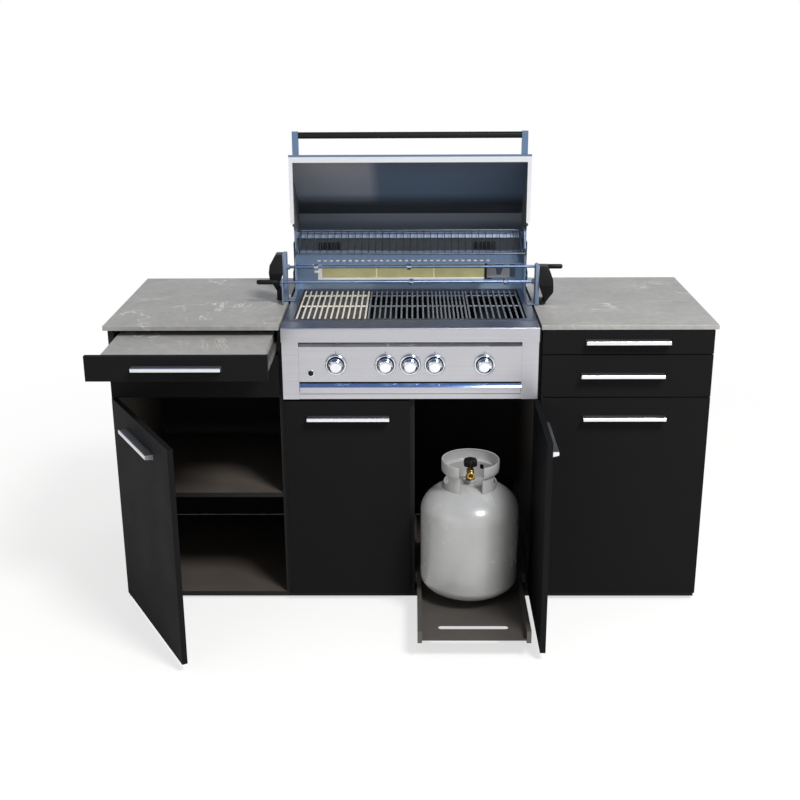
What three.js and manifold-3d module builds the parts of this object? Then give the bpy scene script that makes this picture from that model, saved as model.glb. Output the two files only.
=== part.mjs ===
// Outdoor kitchen island: two side cabinets with stone slabs and a built-in gas grill between them.
// Millimetres. X runs along the front, Y goes from the closed fronts (Y = 0) to the back, Z is up.
// Drawers, doors, hood and gas tray are modelled closed and then moved by the openings named below.

import * as THREE from "three";
import { mergeVertices } from "three/addons/utils/BufferGeometryUtils.js";
import Module from "manifold-3d";

const wasm = await Module();
wasm.setup();

// Overall sizes.
const bayWidth = 750;
const cabinetWidth = 515;
const worktopOverhang = 10;
const worktopTop = 895;
const worktopDepth = 635;
const slabThick = 13;
const slabSetback = 9;
const carcassBack = 610;
const panelThick = 16;
const frontThick = 16;
const glideHeight = 8;

// Clearances and small common sizes.
const fit = 0.3;
const standoff = 1;
const reveal = 3;
const bayReveal = 1.5;
const sheet = 2;
const cutOver = 20;

// How far the moving pieces stand open.
const leftDoorOpen = 60;
const rightDoorOpen = 0;
const gasDoorOpen = 90;
const hoodOpen = 90;
const pullOutOpen = 258;
const gasTrayOpen = 370;

// Lines that several pieces share.
const halfBay = bayWidth / 2;
const cabinetOuter = halfBay + cabinetWidth;
const worktopHalf = cabinetOuter + worktopOverhang;
const slabInner = halfBay + slabSetback;
const slabBottom = worktopTop - slabThick;
const carcassFront = frontThick + standoff;
const panelTop = slabBottom - fit;
const baseTop = glideHeight + panelThick;
const partitionInner = halfBay + panelThick;
const sideInner = cabinetOuter - panelThick;

// Heights of the fronts.
const frontTopGap = 2;
const topFrontHeight = 72;
const secondFrontHeight = 129;
const doorBottom = 27;
const topFrontTop = slabBottom - frontTopGap;
const topFrontBottom = topFrontTop - topFrontHeight;
const secondFrontTop = topFrontBottom - reveal;
const secondFrontBottom = secondFrontTop - secondFrontHeight;
const doorTop = secondFrontBottom - reveal;
const frontEdge = 0.5;
const partitionShow = 13;
const frontInner = halfBay + partitionShow;
const frontOuter = cabinetOuter - frontEdge;

// The grill between the cabinets. Its heights hang from its deck, which stands proud of the worktop.
const grillLap = 2;
const grillHalf = halfBay + grillLap;
const deckProud = 2;
const deckTop = worktopTop + deckProud;
const railDrop = 3;
const railTall = 44;
const panelTall = 124;
const slotTall = 18;
const stripTall = 37;
const railTop = deckTop - railDrop;
const railBottom = railTop - railTall;
const panelLow = railBottom - panelTall;
const slotLow = panelLow - slotTall;
const grillBottom = slotLow - stripTall;
const grillDoorGap = 7;
const bayDoorTop = grillBottom - grillDoorGap;
const fasciaFront = -4;

function finish(color, roughness, metalness) {
  return new THREE.MeshStandardMaterial({ color, roughness, metalness });
}

const blackPaint = () => finish(0x282828, 0.55, 0.0);
const darkCarcass = () => finish(0x2e2d2c, 0.6, 0.0);
const brushedSteel = () => finish(0xc5c5c7, 0.32, 1.0);
const handleMetal = () => finish(0xd4d4d6, 0.35, 1.0);
const greyStone = () => finish(0xa5a29b, 0.6, 0.0);
const greySheet = () => finish(0x8b8a86, 0.45, 0.6);
const whiteEnamel = () => finish(0xd9d9d4, 0.3, 0.1);
const brassMetal = () => finish(0xb08d4a, 0.35, 1.0);
const blackPlastic = () => finish(0x202020, 0.5, 0.0);

const island = new THREE.Group();

// A closed three.js geometry as a solid that can be joined and cut.
function solid(geometry) {
  const bare = geometry.clone();
  bare.deleteAttribute("normal");
  bare.deleteAttribute("uv");
  const merged = mergeVertices(bare);
  return new wasm.Manifold(new wasm.Mesh({
    numProp: 3,
    vertProperties: new Float32Array(merged.attributes.position.array),
    triVerts: new Uint32Array(merged.index.array),
  }));
}

// Adds one named piece, made from one or more overlapping solids, to its group.
function piece(name, body, material, parent = island) {
  const mesh = body.getMesh();
  const geometry = new THREE.BufferGeometry();
  geometry.setAttribute("position", new THREE.BufferAttribute(new Float32Array(mesh.vertProperties), 3));
  geometry.setIndex(new THREE.BufferAttribute(new Uint32Array(mesh.triVerts), 1));
  geometry.computeVertexNormals();
  const result = new THREE.Mesh(geometry, material);
  result.name = name;
  parent.add(result);
  return result;
}

function join(solids) {
  return solids.reduce((whole, next) => whole.add(next));
}

function cut(body, cutters) {
  return cutters.reduce((rest, cutter) => rest.subtract(cutter), body);
}

function block(x0, x1, y0, y1, z0, z1) {
  const box = new THREE.BoxGeometry(x1 - x0, y1 - y0, z1 - z0);
  box.translate((x0 + x1) / 2, (y0 + y1) / 2, (z0 + z1) / 2);
  return solid(box);
}

function outline(points) {
  return points instanceof THREE.Shape ? points : new THREE.Shape(points.map(([u, v]) => new THREE.Vector2(u, v)));
}

function extruded(points, depth, curveSegments = 6) {
  return new THREE.ExtrudeGeometry(outline(points), { depth, bevelEnabled: false, curveSegments });
}

// Sections given as (y, z), (x, z) and (x, y) and run along the axis that is left.
function alongX(points, x0, x1, segments) {
  const body = extruded(points, x1 - x0, segments);
  const [x, y, z] = [new THREE.Vector3(1, 0, 0), new THREE.Vector3(0, 1, 0), new THREE.Vector3(0, 0, 1)];
  body.applyMatrix4(new THREE.Matrix4().makeBasis(y, z, x));
  body.translate(x0, 0, 0);
  return solid(body);
}

function alongY(points, y0, y1, segments) {
  const body = extruded(points, y1 - y0, segments);
  body.rotateX(Math.PI / 2);
  body.translate(0, y1, 0);
  return solid(body);
}

function alongZ(points, z0, z1, segments) {
  const body = extruded(points, z1 - z0, segments);
  body.translate(0, 0, z0);
  return solid(body);
}

// A round bar between two points.
function bar(from, to, radius, sides = 12) {
  const a = new THREE.Vector3(...from);
  const b = new THREE.Vector3(...to);
  const body = new THREE.CylinderGeometry(radius, radius, a.distanceTo(b), sides);
  body.applyQuaternion(new THREE.Quaternion().setFromUnitVectors(
    new THREE.Vector3(0, 1, 0), b.clone().sub(a).normalize()));
  body.translate(...a.add(b).divideScalar(2).toArray());
  return solid(body);
}

// A profile of (radius, height) pairs turned about the Z axis, or about -Y for what stands on the front.
function turned(profile, sides, centre) {
  const body = new THREE.LatheGeometry(profile.map(([r, h]) => new THREE.Vector2(r, h)), sides);
  body.rotateX(Math.PI / 2);
  body.translate(...centre);
  return solid(body);
}

function turnedForward(profile, sides, centre) {
  const body = new THREE.LatheGeometry(profile.map(([r, h]) => new THREE.Vector2(r, h)), sides);
  body.rotateX(Math.PI);
  body.translate(...centre);
  return solid(body);
}

function roundedRect(u0, u1, v0, v1, r) {
  const shape = new THREE.Shape();
  shape.moveTo(u0 + r, v0);
  shape.lineTo(u1 - r, v0);
  shape.absarc(u1 - r, v0 + r, r, -Math.PI / 2, 0);
  shape.lineTo(u1, v1 - r);
  shape.absarc(u1 - r, v1 - r, r, 0, Math.PI / 2);
  shape.lineTo(u0 + r, v1);
  shape.absarc(u0 + r, v1 - r, r, Math.PI / 2, Math.PI);
  shape.lineTo(u0, v0 + r);
  shape.absarc(u0 + r, v0 + r, r, Math.PI, Math.PI * 1.5);
  return shape;
}

// A group that turns its pieces about a vertical or a sideways line, and one that draws them forward.
function swung(pivotX, pivotY, pivotZ, axis, degrees) {
  const turn = new THREE.Group();
  turn.position.set(pivotX, pivotY, pivotZ);
  turn.rotation[axis] = THREE.MathUtils.degToRad(degrees);
  const back = new THREE.Group();
  back.position.set(-pivotX, -pivotY, -pivotZ);
  turn.add(back);
  island.add(turn);
  return back;
}

function drawn(distance) {
  const group = new THREE.Group();
  group.position.y = -distance;
  island.add(group);
  return group;
}

// Lip pulls: an upside-down channel with closed ends on every front.
const pullLength = 245;
const pullDeep = 24;
const pullLip = 10.5;
const pullWall = 2;
const pullLeg = 16;
const pullRound = 2.5;

function pull(name, centreX, centreZ, parent) {
  const back = -fit;
  const front = back - pullDeep;
  const top = centreZ + pullLip / 2;
  const section = new THREE.Shape();
  section.moveTo(back, top);
  section.lineTo(front + pullRound, top);
  section.absarc(front + pullRound, top - pullRound, pullRound, Math.PI / 2, Math.PI);
  section.lineTo(front, top - pullLip);
  section.lineTo(back, top - pullLeg);
  const half = pullLength / 2;
  const hollow = [
    [back - pullWall, top - pullWall],
    [front + pullWall, top - pullWall],
    [front + pullWall, top - pullLeg - cutOver],
    [back - pullWall, top - pullLeg - cutOver],
  ];
  piece(name, cut(alongX(section, centreX - half, centreX + half, 3),
    [alongX(hollow, centreX - half + pullWall, centreX + half - pullWall)]), handleMetal(), parent);
}

// Pivot hinges: a leaf on the cabinet carries a pin that stands in a bore of the door's edge or its leaf.
const pinRadius = 2.4;
const pinLength = 8;
const leafThick = 2;
const leafHalf = 4;
const leafRoot = 6;
const pinBore = pinRadius + fit;
const outerPinInset = 3.5;
const outerPinDepth = 4.5;
const bayPinOut = 1.75;
const bayPinDepth = 9.75;
const bayLeafLong = 40;

// One cabinet leaf with its pin; up is 1 where the pin points up into the door and -1 where it points down.
function cabinetLeaf(panelX0, panelX1, pinX, pinY, z, up) {
  const z0 = up > 0 ? z - leafThick : z;
  const leaf = new THREE.Shape();
  leaf.moveTo(pinX - leafHalf, carcassFront - fit);
  leaf.lineTo(pinX - leafHalf, pinY);
  leaf.absarc(pinX, pinY, leafHalf, Math.PI, Math.PI * 2);
  leaf.lineTo(pinX + leafHalf, carcassFront - fit);
  const pinEnd = z + up * pinLength;
  const rootX0 = Math.max(pinX - leafHalf, panelX0);
  const rootX1 = Math.min(pinX + leafHalf, panelX1);
  return join([
    alongZ(leaf, z0, z0 + leafThick),
    block(rootX0, rootX1, carcassFront - leafThick, carcassFront + leafRoot, z0, z0 + leafThick),
    bar([pinX, pinY, z - up * leafThick / 2], [pinX, pinY, pinEnd], pinRadius),
  ]);
}

function pinHole(pinX, pinY, z, up) {
  return bar([pinX, pinY, z - up * cutOver], [pinX, pinY, z + up * (pinLength + fit)], pinBore);
}

// Drawer slides: a channel fixed to a panel and a bar on the drawer that runs in it.
const slideLength = 450;
const slideDeep = 12;
const slideTall = 26;
const slideWall = 1.6;
const drawerClear = 12.5;

// Side is +1 where the channel opens towards +X.
function channel(panelX, side, deep, zMid, tall, length) {
  const root = panelX - side * slideWall;
  const tip = panelX + side * deep;
  const [x0, x1] = [Math.min(root, tip), Math.max(root, tip)];
  const inner = panelX + side * slideWall;
  const over = tip + side * cutOver;
  const [c0, c1] = [Math.min(inner, over), Math.max(inner, over)];
  return cut(block(x0, x1, carcassFront, carcassFront + length, zMid - tall / 2, zMid + tall / 2),
    [block(c0, c1, carcassFront - cutOver, carcassFront + length + cutOver,
      zMid - tall / 2 + slideWall, zMid + tall / 2 - slideWall)]);
}

function slideBar(panelX, side, toX, zMid, tall, length) {
  const tip = panelX + side * (slideWall + fit);
  const [x0, x1] = [Math.min(tip, toX), Math.max(tip, toX)];
  const half = tall / 2 - slideWall - fit;
  return block(x0, x1, carcassFront + standoff, carcassFront + standoff + length, zMid - half, zMid + half);
}

// Heights of the slides and the drawer boxes.
const boxWall = 2;
const boxDeep = 450;
const topBoxUp = 4;
const secondBoxUp = 9;
const topBoxBottom = topFrontBottom + topBoxUp;
const topBoxHeight = 50;
const secondBoxBottom = secondFrontBottom + secondBoxUp;
const secondBoxHeight = 105;
const slideUp = 14;
const topSlideZ = topBoxBottom + slideUp;
const secondSlideZ = secondBoxBottom + slideUp;
const pullOutBoardDrop = 31;
const boardThick = 20;
const pullOutFrameTop = worktopTop - pullOutBoardDrop - boardThick - fit;
const pullOutFrameHeight = 27;
const pullOutSlideZ = pullOutFrameTop - pullOutFrameHeight / 2;

// Gas tray: heights and the two runners.
const trayFloorTop = 62;
const trayRailTall = 38;
const trayRailBottom = 52;
const trayRailWide = 13;
const traySlideZ = trayRailBottom + trayRailTall / 2;
const dividerMid = 5;
const dividerRight = dividerMid + panelThick / 2;
const trayGapLeft = 7;
const trayGapRight = 30;
const trayLeft = dividerRight + trayGapLeft;
const trayRight = halfBay - trayGapRight;
const spacerThick = 11.5;
const spacerBottom = 28;
const spacerTop = 168;
const spacerX = halfBay - spacerThick;
const trayLength = 582;

// Cabinet panels. Each outer side and each partition is one plate with its slides and hinge leaves.
function sidePanel(name, side, slideHeights) {
  const [x0, x1] = side < 0 ? [-cabinetOuter, -sideInner] : [sideInner, cabinetOuter];
  const pinX = outerPinInset - frontOuter;
  const parts = [block(x0, x1, carcassFront, carcassBack, glideHeight, panelTop)];
  slideHeights.forEach((z) => parts.push(channel(side * sideInner, -side, slideDeep, z, slideTall, slideLength)));
  if (side < 0) {
    parts.push(cabinetLeaf(x0, x1, pinX, outerPinDepth, doorBottom - fit, 1));
    parts.push(cabinetLeaf(x0, x1, pinX, outerPinDepth, doorTop + fit, -1));
  }
  piece(name, join(parts), darkCarcass());
}

function partition(name, side, slideHeights) {
  const [x0, x1] = side < 0 ? [-partitionInner, -halfBay] : [halfBay, partitionInner];
  const pinX = side * (halfBay - bayReveal + bayPinOut);
  const parts = [block(x0, x1, carcassFront, carcassBack, glideHeight, panelTop)];
  slideHeights.forEach((z) => parts.push(channel(side * partitionInner, side, slideDeep, z, slideTall, slideLength)));
  const leafGap = leafThick + fit;
  parts.push(cabinetLeaf(x0, x1, pinX, bayPinDepth, doorBottom - leafGap, 1));
  parts.push(cabinetLeaf(x0, x1, pinX, bayPinDepth, bayDoorTop + leafGap, -1));
  if (side > 0) {
    parts.push(cabinetLeaf(x0, x1, frontInner + outerPinInset, outerPinDepth, doorBottom - fit, 1));
    parts.push(cabinetLeaf(x0, x1, frontInner + outerPinInset, outerPinDepth, doorTop + fit, -1));
    parts.push(block(spacerX, halfBay + fit, carcassFront, carcassBack - panelThick, spacerBottom, spacerTop));
    parts.push(channel(spacerX, -1, spacerX - trayRight - fit * 2, traySlideZ, trayRailTall, slideLength));
  }
  piece(name, join(parts), darkCarcass());
}

function divider() {
  const top = bayDoorTop + grillDoorGap / 2;
  piece("divider", join([
    block(dividerRight - panelThick, dividerRight, carcassFront, carcassBack, baseTop + fit, top),
    channel(dividerRight, 1, trayLeft - dividerRight - fit * 2, traySlideZ, trayRailTall, slideLength),
  ]), darkCarcass());
}

const glideRadius = 14;
const glideInset = 45;

function base(name, x0, x1) {
  const parts = [block(x0 + fit, x1 - fit, carcassFront, carcassBack, glideHeight, baseTop)];
  [x0 + glideInset, x1 - glideInset].forEach((x) => {
    [carcassFront + glideInset, carcassBack - glideInset].forEach((y) => {
      parts.push(bar([x, y, 0], [x, y, glideHeight + fit], glideRadius));
    });
  });
  piece(name, join(parts), darkCarcass());
}

// Back sheet with rows of vent slots behind the gas bottle.
const backSheet = 4;
const ventSlotLong = 90;
const ventSlotTall = 8;
const ventPitch = 22;
const ventRows = 4;
const ventLow = 60;
const ventSpreadShare = 0.65;

function backPanel() {
  const cutters = [];
  const centre = (trayLeft + trayRight) / 2;
  for (let row = 0; row < ventRows; row += 1) {
    const z = ventLow + row * ventPitch;
    [-1, 1].forEach((side) => {
      const x = centre + side * ventSlotLong * ventSpreadShare;
      const shape = roundedRect(x - ventSlotLong / 2, x + ventSlotLong / 2, z, z + ventSlotTall, ventSlotTall / 2 - fit);
      cutters.push(alongY(shape, carcassBack - cutOver, carcassBack + cutOver, 2));
    });
  }
  piece("back_sheet", cut(block(-cabinetOuter + fit, cabinetOuter - fit, carcassBack + fit,
    carcassBack + fit + backSheet, baseTop, panelTop), cutters), darkCarcass());
}

const shelfThick = 15;
const shelfTop = 362;
const shelfBackGap = 60;

function shelf(name, x0, x1) {
  piece(name, block(x0 + fit, x1 - fit, carcassFront, carcassBack - shelfBackGap, shelfTop - shelfThick, shelfTop),
    darkCarcass());
}

function carcass() {
  sidePanel("side_left", -1, [pullOutSlideZ, secondSlideZ]);
  sidePanel("side_right", 1, [topSlideZ, secondSlideZ]);
  partition("partition_left", -1, [pullOutSlideZ, secondSlideZ]);
  partition("partition_right", 1, [topSlideZ, secondSlideZ]);
  divider();
  base("base_left", -sideInner, -partitionInner);
  base("base_bay", -halfBay, halfBay);
  base("base_right", partitionInner, sideInner);
  backPanel();
  shelf("shelf_left", -sideInner, -partitionInner);
}

// Stone slabs with eased top edges.
const slabEase = 1.5;

function slab(name, x0, x1) {
  const section = [
    [0, slabBottom],
    [worktopDepth, slabBottom],
    [worktopDepth, worktopTop - slabEase],
    [worktopDepth - slabEase, worktopTop],
    [slabEase, worktopTop],
    [0, worktopTop - slabEase],
  ];
  piece(name, alongX(section, x0, x1), greyStone());
}

// A front plate with its bores for the hinge pins.
function frontPlate(name, x0, x1, z0, z1, cutters, extras, parent) {
  piece(name, cut(join([block(x0, x1, 0, frontThick, z0, z1), ...extras]), cutters), blackPaint(), parent);
}

const topPullUp = 3;
const secondPullUp = 4;
const lowPullShift = 11;
const topPullZ = topFrontBottom + topFrontHeight / 2 + topPullUp;
const secondPullZ = secondFrontBottom + secondFrontHeight / 2 + secondPullUp;
const doorPullDrop = 61;
const doorPullZ = doorTop - doorPullDrop;
const pullShift = 2.2;
const outerPullX = (frontInner + frontOuter) / 2 - pullShift;
const bayPullX = halfBay / 2 - pullShift;

// Both outer doors hang at their left edge: one on the side panel, the other on the partition.
function outerDoor(name, side, open) {
  const [x0, x1] = side < 0 ? [-frontOuter, -frontInner] : [frontInner, frontOuter];
  const pinX = x0 + outerPinInset;
  const group = swung(pinX, outerPinDepth, 0, "z", -open);
  frontPlate(name, x0, x1, doorBottom, doorTop, [
    pinHole(pinX, outerPinDepth, doorBottom, 1),
    pinHole(pinX, outerPinDepth, doorTop, -1),
  ], [], group);
  pull(`${name}_pull`, side * outerPullX, doorPullZ, group);
}

// The doors under the grill carry leaves on their top and bottom edges that reach out to the pins.
function bayDoor(name, side, open) {
  const edge = side * (halfBay - bayReveal);
  const pinX = edge + side * bayPinOut;
  const group = swung(pinX, bayPinDepth, 0, "z", side * open);
  const leaf = new THREE.Shape();
  leaf.moveTo(edge - side * bayLeafLong, bayPinDepth - leafHalf);
  leaf.lineTo(pinX, bayPinDepth - leafHalf);
  leaf.absarc(pinX, bayPinDepth, leafHalf, -Math.PI / 2, Math.PI / 2, side < 0);
  leaf.lineTo(edge - side * bayLeafLong, bayPinDepth + leafHalf);
  const [x0, x1] = side < 0 ? [edge, -bayReveal] : [bayReveal, edge];
  frontPlate(name, x0, x1, doorBottom, bayDoorTop, [
    pinHole(pinX, bayPinDepth, doorBottom - leafThick, 1),
    pinHole(pinX, bayPinDepth, bayDoorTop + leafThick, -1),
  ], [
    alongZ(leaf, doorBottom - leafThick, doorBottom + fit),
    alongZ(leaf, bayDoorTop - fit, bayDoorTop + leafThick),
  ], group);
  pull(`${name}_pull`, side * bayPullX, doorPullZ, group);
}

function drawerBox(name, side, z0, height, slideZ, parent) {
  const [x0, x1] = side < 0
    ? [-sideInner + drawerClear, -partitionInner - drawerClear]
    : [partitionInner + drawerClear, sideInner - drawerClear];
  const y0 = frontThick + fit;
  const y1 = y0 + boxDeep;
  const [panelLow, panelHigh] = side < 0 ? [-sideInner, -partitionInner] : [partitionInner, sideInner];
  const shell = cut(block(x0, x1, y0, y1, z0, z0 + height), [
    block(x0 + boxWall, x1 - boxWall, y0 + boxWall, y1 - boxWall, z0 + boxWall, z0 + height + cutOver)]);
  piece(name, join([
    shell,
    slideBar(panelLow, 1, x0 + boxWall / 2, slideZ, slideTall, slideLength - standoff),
    slideBar(panelHigh, -1, x1 - boxWall / 2, slideZ, slideTall, slideLength - standoff),
  ]), greySheet(), parent);
}

function drawer(name, side, row, pullX) {
  const group = drawn(0);
  const [x0, x1] = side < 0 ? [-frontOuter, -frontInner] : [frontInner, frontOuter];
  if (row === 0) {
    frontPlate(`${name}_front`, x0, x1, topFrontBottom, topFrontTop, [], [], group);
    pull(`${name}_pull`, pullX, topPullZ, group);
    drawerBox(`${name}_box`, side, topBoxBottom, topBoxHeight, topSlideZ, group);
  } else {
    frontPlate(`${name}_front`, x0, x1, secondFrontBottom, secondFrontTop, [], [], group);
    pull(`${name}_pull`, pullX, secondPullZ, group);
    drawerBox(`${name}_box`, side, secondBoxBottom, secondBoxHeight, secondSlideZ, group);
  }
}

// Pull-out worktop: a stone board on a frame of folded rails that runs on the two top slides.
const boardDeep = 440;
const frameWall = 2;
const frameFlange = 24;

function pullOut() {
  const group = drawn(pullOutOpen);
  const x0 = -sideInner + drawerClear;
  const x1 = -partitionInner - drawerClear;
  const y0 = frontThick + fit;
  const y1 = y0 + boardDeep;
  const frameBottom = pullOutFrameTop - pullOutFrameHeight;
  frontPlate("pullout_front", -frontOuter, -frontInner, topFrontBottom, topFrontTop, [], [], group);
  pull("pullout_pull", -outerPullX, topPullZ, group);
  const ring = cut(block(x0, x1, y0, y1, frameBottom, pullOutFrameTop), [
    block(x0 + frameWall, x1 - frameWall, y0 + frameWall, y1 - frameWall,
      frameBottom - cutOver, pullOutFrameTop - frameWall),
    block(x0 + frameFlange, x1 - frameFlange, y0 + frameFlange, y1 - frameFlange,
      frameBottom, pullOutFrameTop + cutOver),
  ]);
  piece("pullout_frame", join([
    ring,
    slideBar(-sideInner, 1, x0 + frameWall / 2, pullOutSlideZ, slideTall, boardDeep - standoff),
    slideBar(-partitionInner, -1, x1 - frameWall / 2, pullOutSlideZ, slideTall, boardDeep - standoff),
  ]), greySheet(), group);
  const boardBottom = pullOutFrameTop + fit;
  piece("pullout_board", block(x0, x1, y0, y1, boardBottom, boardBottom + boardThick), greyStone(), group);
}

// Gas tray: two deep rails, a floor between them and a hand slot near its front.
const handSlotLong = 204;
const handSlotWide = 20;
const handSlotFromFront = 73;
const traySlideTail = 75;
const bottleShift = 3.5;
const bottleX = (trayLeft + trayRight) / 2 - bottleShift;
const bottleFromFront = 300;
const bottleY = carcassFront + bottleFromFront;

function gasTray(group) {
  const y0 = carcassFront + standoff;
  const y1 = y0 + trayLength;
  const railHigh = trayRailBottom + trayRailTall;
  const slotY = y0 + handSlotFromFront;
  const middle = (trayLeft + trayRight) / 2;
  const floorEdge = trayRailWide - sheet / 2;
  const sheetFloor = block(trayLeft + floorEdge, trayRight - floorEdge, y0, y1, trayFloorTop - sheet, trayFloorTop);
  const floor = cut(sheetFloor, [
    alongZ(roundedRect(middle - handSlotLong / 2, middle + handSlotLong / 2, slotY - handSlotWide / 2,
      slotY + handSlotWide / 2, handSlotWide / 2 - fit), trayFloorTop - cutOver, trayFloorTop + cutOver, 4)]);
  const rail = (x0, x1) => cut(block(x0, x1, y0, y1, trayRailBottom, railHigh), [
    block(x0 + sheet, x1 - sheet, y0 + sheet, y1 - sheet, trayRailBottom - cutOver, railHigh - sheet)]);
  const runner = (panelX, side, toX) => slideBar(panelX, side, toX, traySlideZ, trayRailTall, slideLength)
    .subtract(block(trayLeft - trayGapRight, trayRight + trayGapRight, carcassFront - cutOver,
      carcassFront + slideLength - traySlideTail, trayRailBottom, railHigh));
  piece("gas_tray", join([
    floor,
    rail(trayLeft, trayLeft + trayRailWide),
    rail(trayRight - trayRailWide, trayRight),
    runner(dividerRight, 1, trayLeft + sheet / 2),
    runner(spacerX, -1, trayRight - sheet / 2),
  ]), greySheet(), group);
}

// Gas bottle: foot ring, dished body, valve boss and a stepped collar with a front opening and hand holes.
const bottleRadius = 148;
const bottleWall = 3;
const bowlLift = 2;
const bowlDeep = 75;
const bodyStraight = 201;
const domeTall = 88;
const bossUp = 8;
const bossRadius = 20;
const footRadius = 80;
const footHeight = 30;
const collarRadius = 79;
const rimRadius = 87;
const rimTall = 38;
const collarUp = 72;
const collarSunk = 50;
const collarOpenHalf = 34;
const gripHalf = 42;
const gripTall = 30;
const gripDrop = 2;
const gripRound = 12;
const drainHole = 12;
const footZ = trayFloorTop + fit;
const bowlZ = footZ + bowlLift + bowlDeep;
const shoulderZ = bowlZ + bodyStraight;
const domeTopZ = shoulderZ + domeTall;
const bossTop = domeTopZ + bossUp;
const rimTop = domeTopZ + collarUp;
const neckShare = 2.7;
const roundSides = 24;
const bowlSteps = 4;
const domeSteps = 4;

// Outer or inner profile of the body; inset is the wall for the inner one.
function bottleProfile(inset, top) {
  const radius = bottleRadius - inset;
  const neck = bossRadius - inset * neckShare;
  const last = Math.acos(neck / radius);
  const points = [[0, bowlZ - bowlDeep + inset]];
  for (let i = 1; i <= bowlSteps; i += 1) {
    const a = (i / bowlSteps) * (Math.PI / 2);
    points.push([radius * Math.sin(a), bowlZ - (bowlDeep - inset) * Math.cos(a)]);
  }
  for (let i = 0; i <= domeSteps; i += 1) {
    const a = (i / domeSteps) * last;
    points.push([radius * Math.cos(a), shoulderZ + (domeTall - inset) * Math.sin(a)]);
  }
  points.push([neck, top]);
  points.push([0, top]);
  return points;
}

function bottleCollar(centre) {
  const stepZ = rimTop - rimTall;
  const ring = turned([
    [collarRadius - bottleWall, domeTopZ - collarSunk],
    [collarRadius, domeTopZ - collarSunk],
    [collarRadius, stepZ],
    [rimRadius, stepZ + bottleWall],
    [rimRadius, rimTop],
    [rimRadius - bottleWall, rimTop],
    [rimRadius - bottleWall, stepZ + bottleWall * 2],
    [collarRadius - bottleWall, stepZ + bottleWall],
    [collarRadius - bottleWall, domeTopZ - collarSunk],
  ], roundSides, centre);
  const gripHigh = stepZ - gripDrop;
  const grip = roundedRect(bottleY - gripHalf, bottleY + gripHalf, gripHigh - gripTall, gripHigh, gripRound);
  const drainX = bottleX + collarOpenHalf;
  return cut(ring, [
    block(bottleX - collarOpenHalf, bottleX + collarOpenHalf, bottleY - rimRadius - cutOver, bottleY,
      domeTopZ - collarSunk - cutOver, rimTop + cutOver),
    alongX(grip, bottleX - rimRadius - cutOver, bottleX + rimRadius + cutOver, 2),
    block(drainX, drainX + drainHole, bottleY, bottleY + rimRadius + cutOver, bossTop, bossTop + drainHole),
  ]);
}

function gasBottle(group) {
  const centre = [bottleX, bottleY, 0];
  const foot = turned([
    [footRadius - bottleWall, footZ],
    [footRadius, footZ],
    [footRadius, footZ + footHeight],
    [footRadius - bottleWall, footZ + footHeight],
    [footRadius - bottleWall, footZ],
  ], roundSides, centre);
  const hull = join([turned(bottleProfile(0, bossTop), roundSides, centre), foot, bottleCollar(centre)]);
  const inside = turned(bottleProfile(bottleWall, bossTop + cutOver), roundSides, centre);
  piece("gas_bottle", cut(hull, [inside]), whiteEnamel(), group);
}

// Gas valve: a turned body with a hexagon, a side outlet with its bore, and a handwheel on top.
const valveRadius = 10;
const valveTall = 41;
const hexRadius = 15;
const hexTall = 12;
const outletRadius = 11;
const outletBore = 6;
const outletLong = 40;
const outletUp = 24;
const wheelRadius = 22;
const wheelTall = 24;
const wheelCrown = 5;
const wheelLobes = 6;
const wheelDipShare = 0.07;

function gasValve(group) {
  const seat = bossTop + fit;
  const top = seat + valveTall;
  const outletZ = seat + outletUp;
  piece("gas_valve", cut(join([
    bar([bottleX, bottleY, seat], [bottleX, bottleY, top], valveRadius),
    bar([bottleX, bottleY, seat], [bottleX, bottleY, seat + hexTall], hexRadius, 6),
    bar([bottleX, bottleY, outletZ], [bottleX, bottleY - outletLong, outletZ], outletRadius, 16),
  ]), [bar([bottleX, bottleY - outletLong - cutOver, outletZ], [bottleX, bottleY - valveRadius, outletZ], outletBore)]),
  brassMetal(), group);
  const low = top + fit;
  const rim = (scale) => Array.from({ length: wheelLobes * 6 }, (_, i) => {
    const a = (i / (wheelLobes * 6)) * Math.PI * 2;
    const radius = wheelRadius * scale * (1 - wheelDipShare * (1 + Math.cos(a * wheelLobes)));
    return [bottleX + radius * Math.cos(a), bottleY + radius * Math.sin(a)];
  });
  const crownShare = 0.7;
  piece("gas_handwheel", join([
    alongZ(rim(1), low, low + wheelTall - wheelCrown),
    alongZ(rim(crownShare), low + wheelTall / 2, low + wheelTall),
  ]), blackPlastic(), group);
}

function gasDrawer() {
  const group = drawn(gasTrayOpen);
  gasTray(group);
  gasBottle(group);
  gasValve(group);
}

function fronts() {
  drawer("left_drawer", -1, 1, -outerPullX);
  drawer("right_drawer_top", 1, 0, outerPullX);
  drawer("right_drawer_low", 1, 1, outerPullX - lowPullShift);
  outerDoor("left_door", -1, leftDoorOpen);
  outerDoor("right_door", 1, rightDoorOpen);
  bayDoor("bay_door_left", -1, 0);
  bayDoor("bay_door_right", 1, gasDoorOpen);
  pullOut();
}

// Grill front: a pressed fascia with a rolled top rail, a window for the control panel, a mirror-bright
// sloped ledge under it and a strip above the drip tray.
const railProud = 14;
const railRound = 5;
const stileWide = 49;
const windowHalf = grillHalf - stileWide;
const ledgeRise = 24;
const fasciaTopBack = 58;
const dripTall = 17.5;
const dripSeam = grillBottom + dripTall;
const panelProud = 2;
const panelFront = fasciaFront - panelProud;
const panelLean = 14;
const panelLeanTall = 15;

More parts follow.
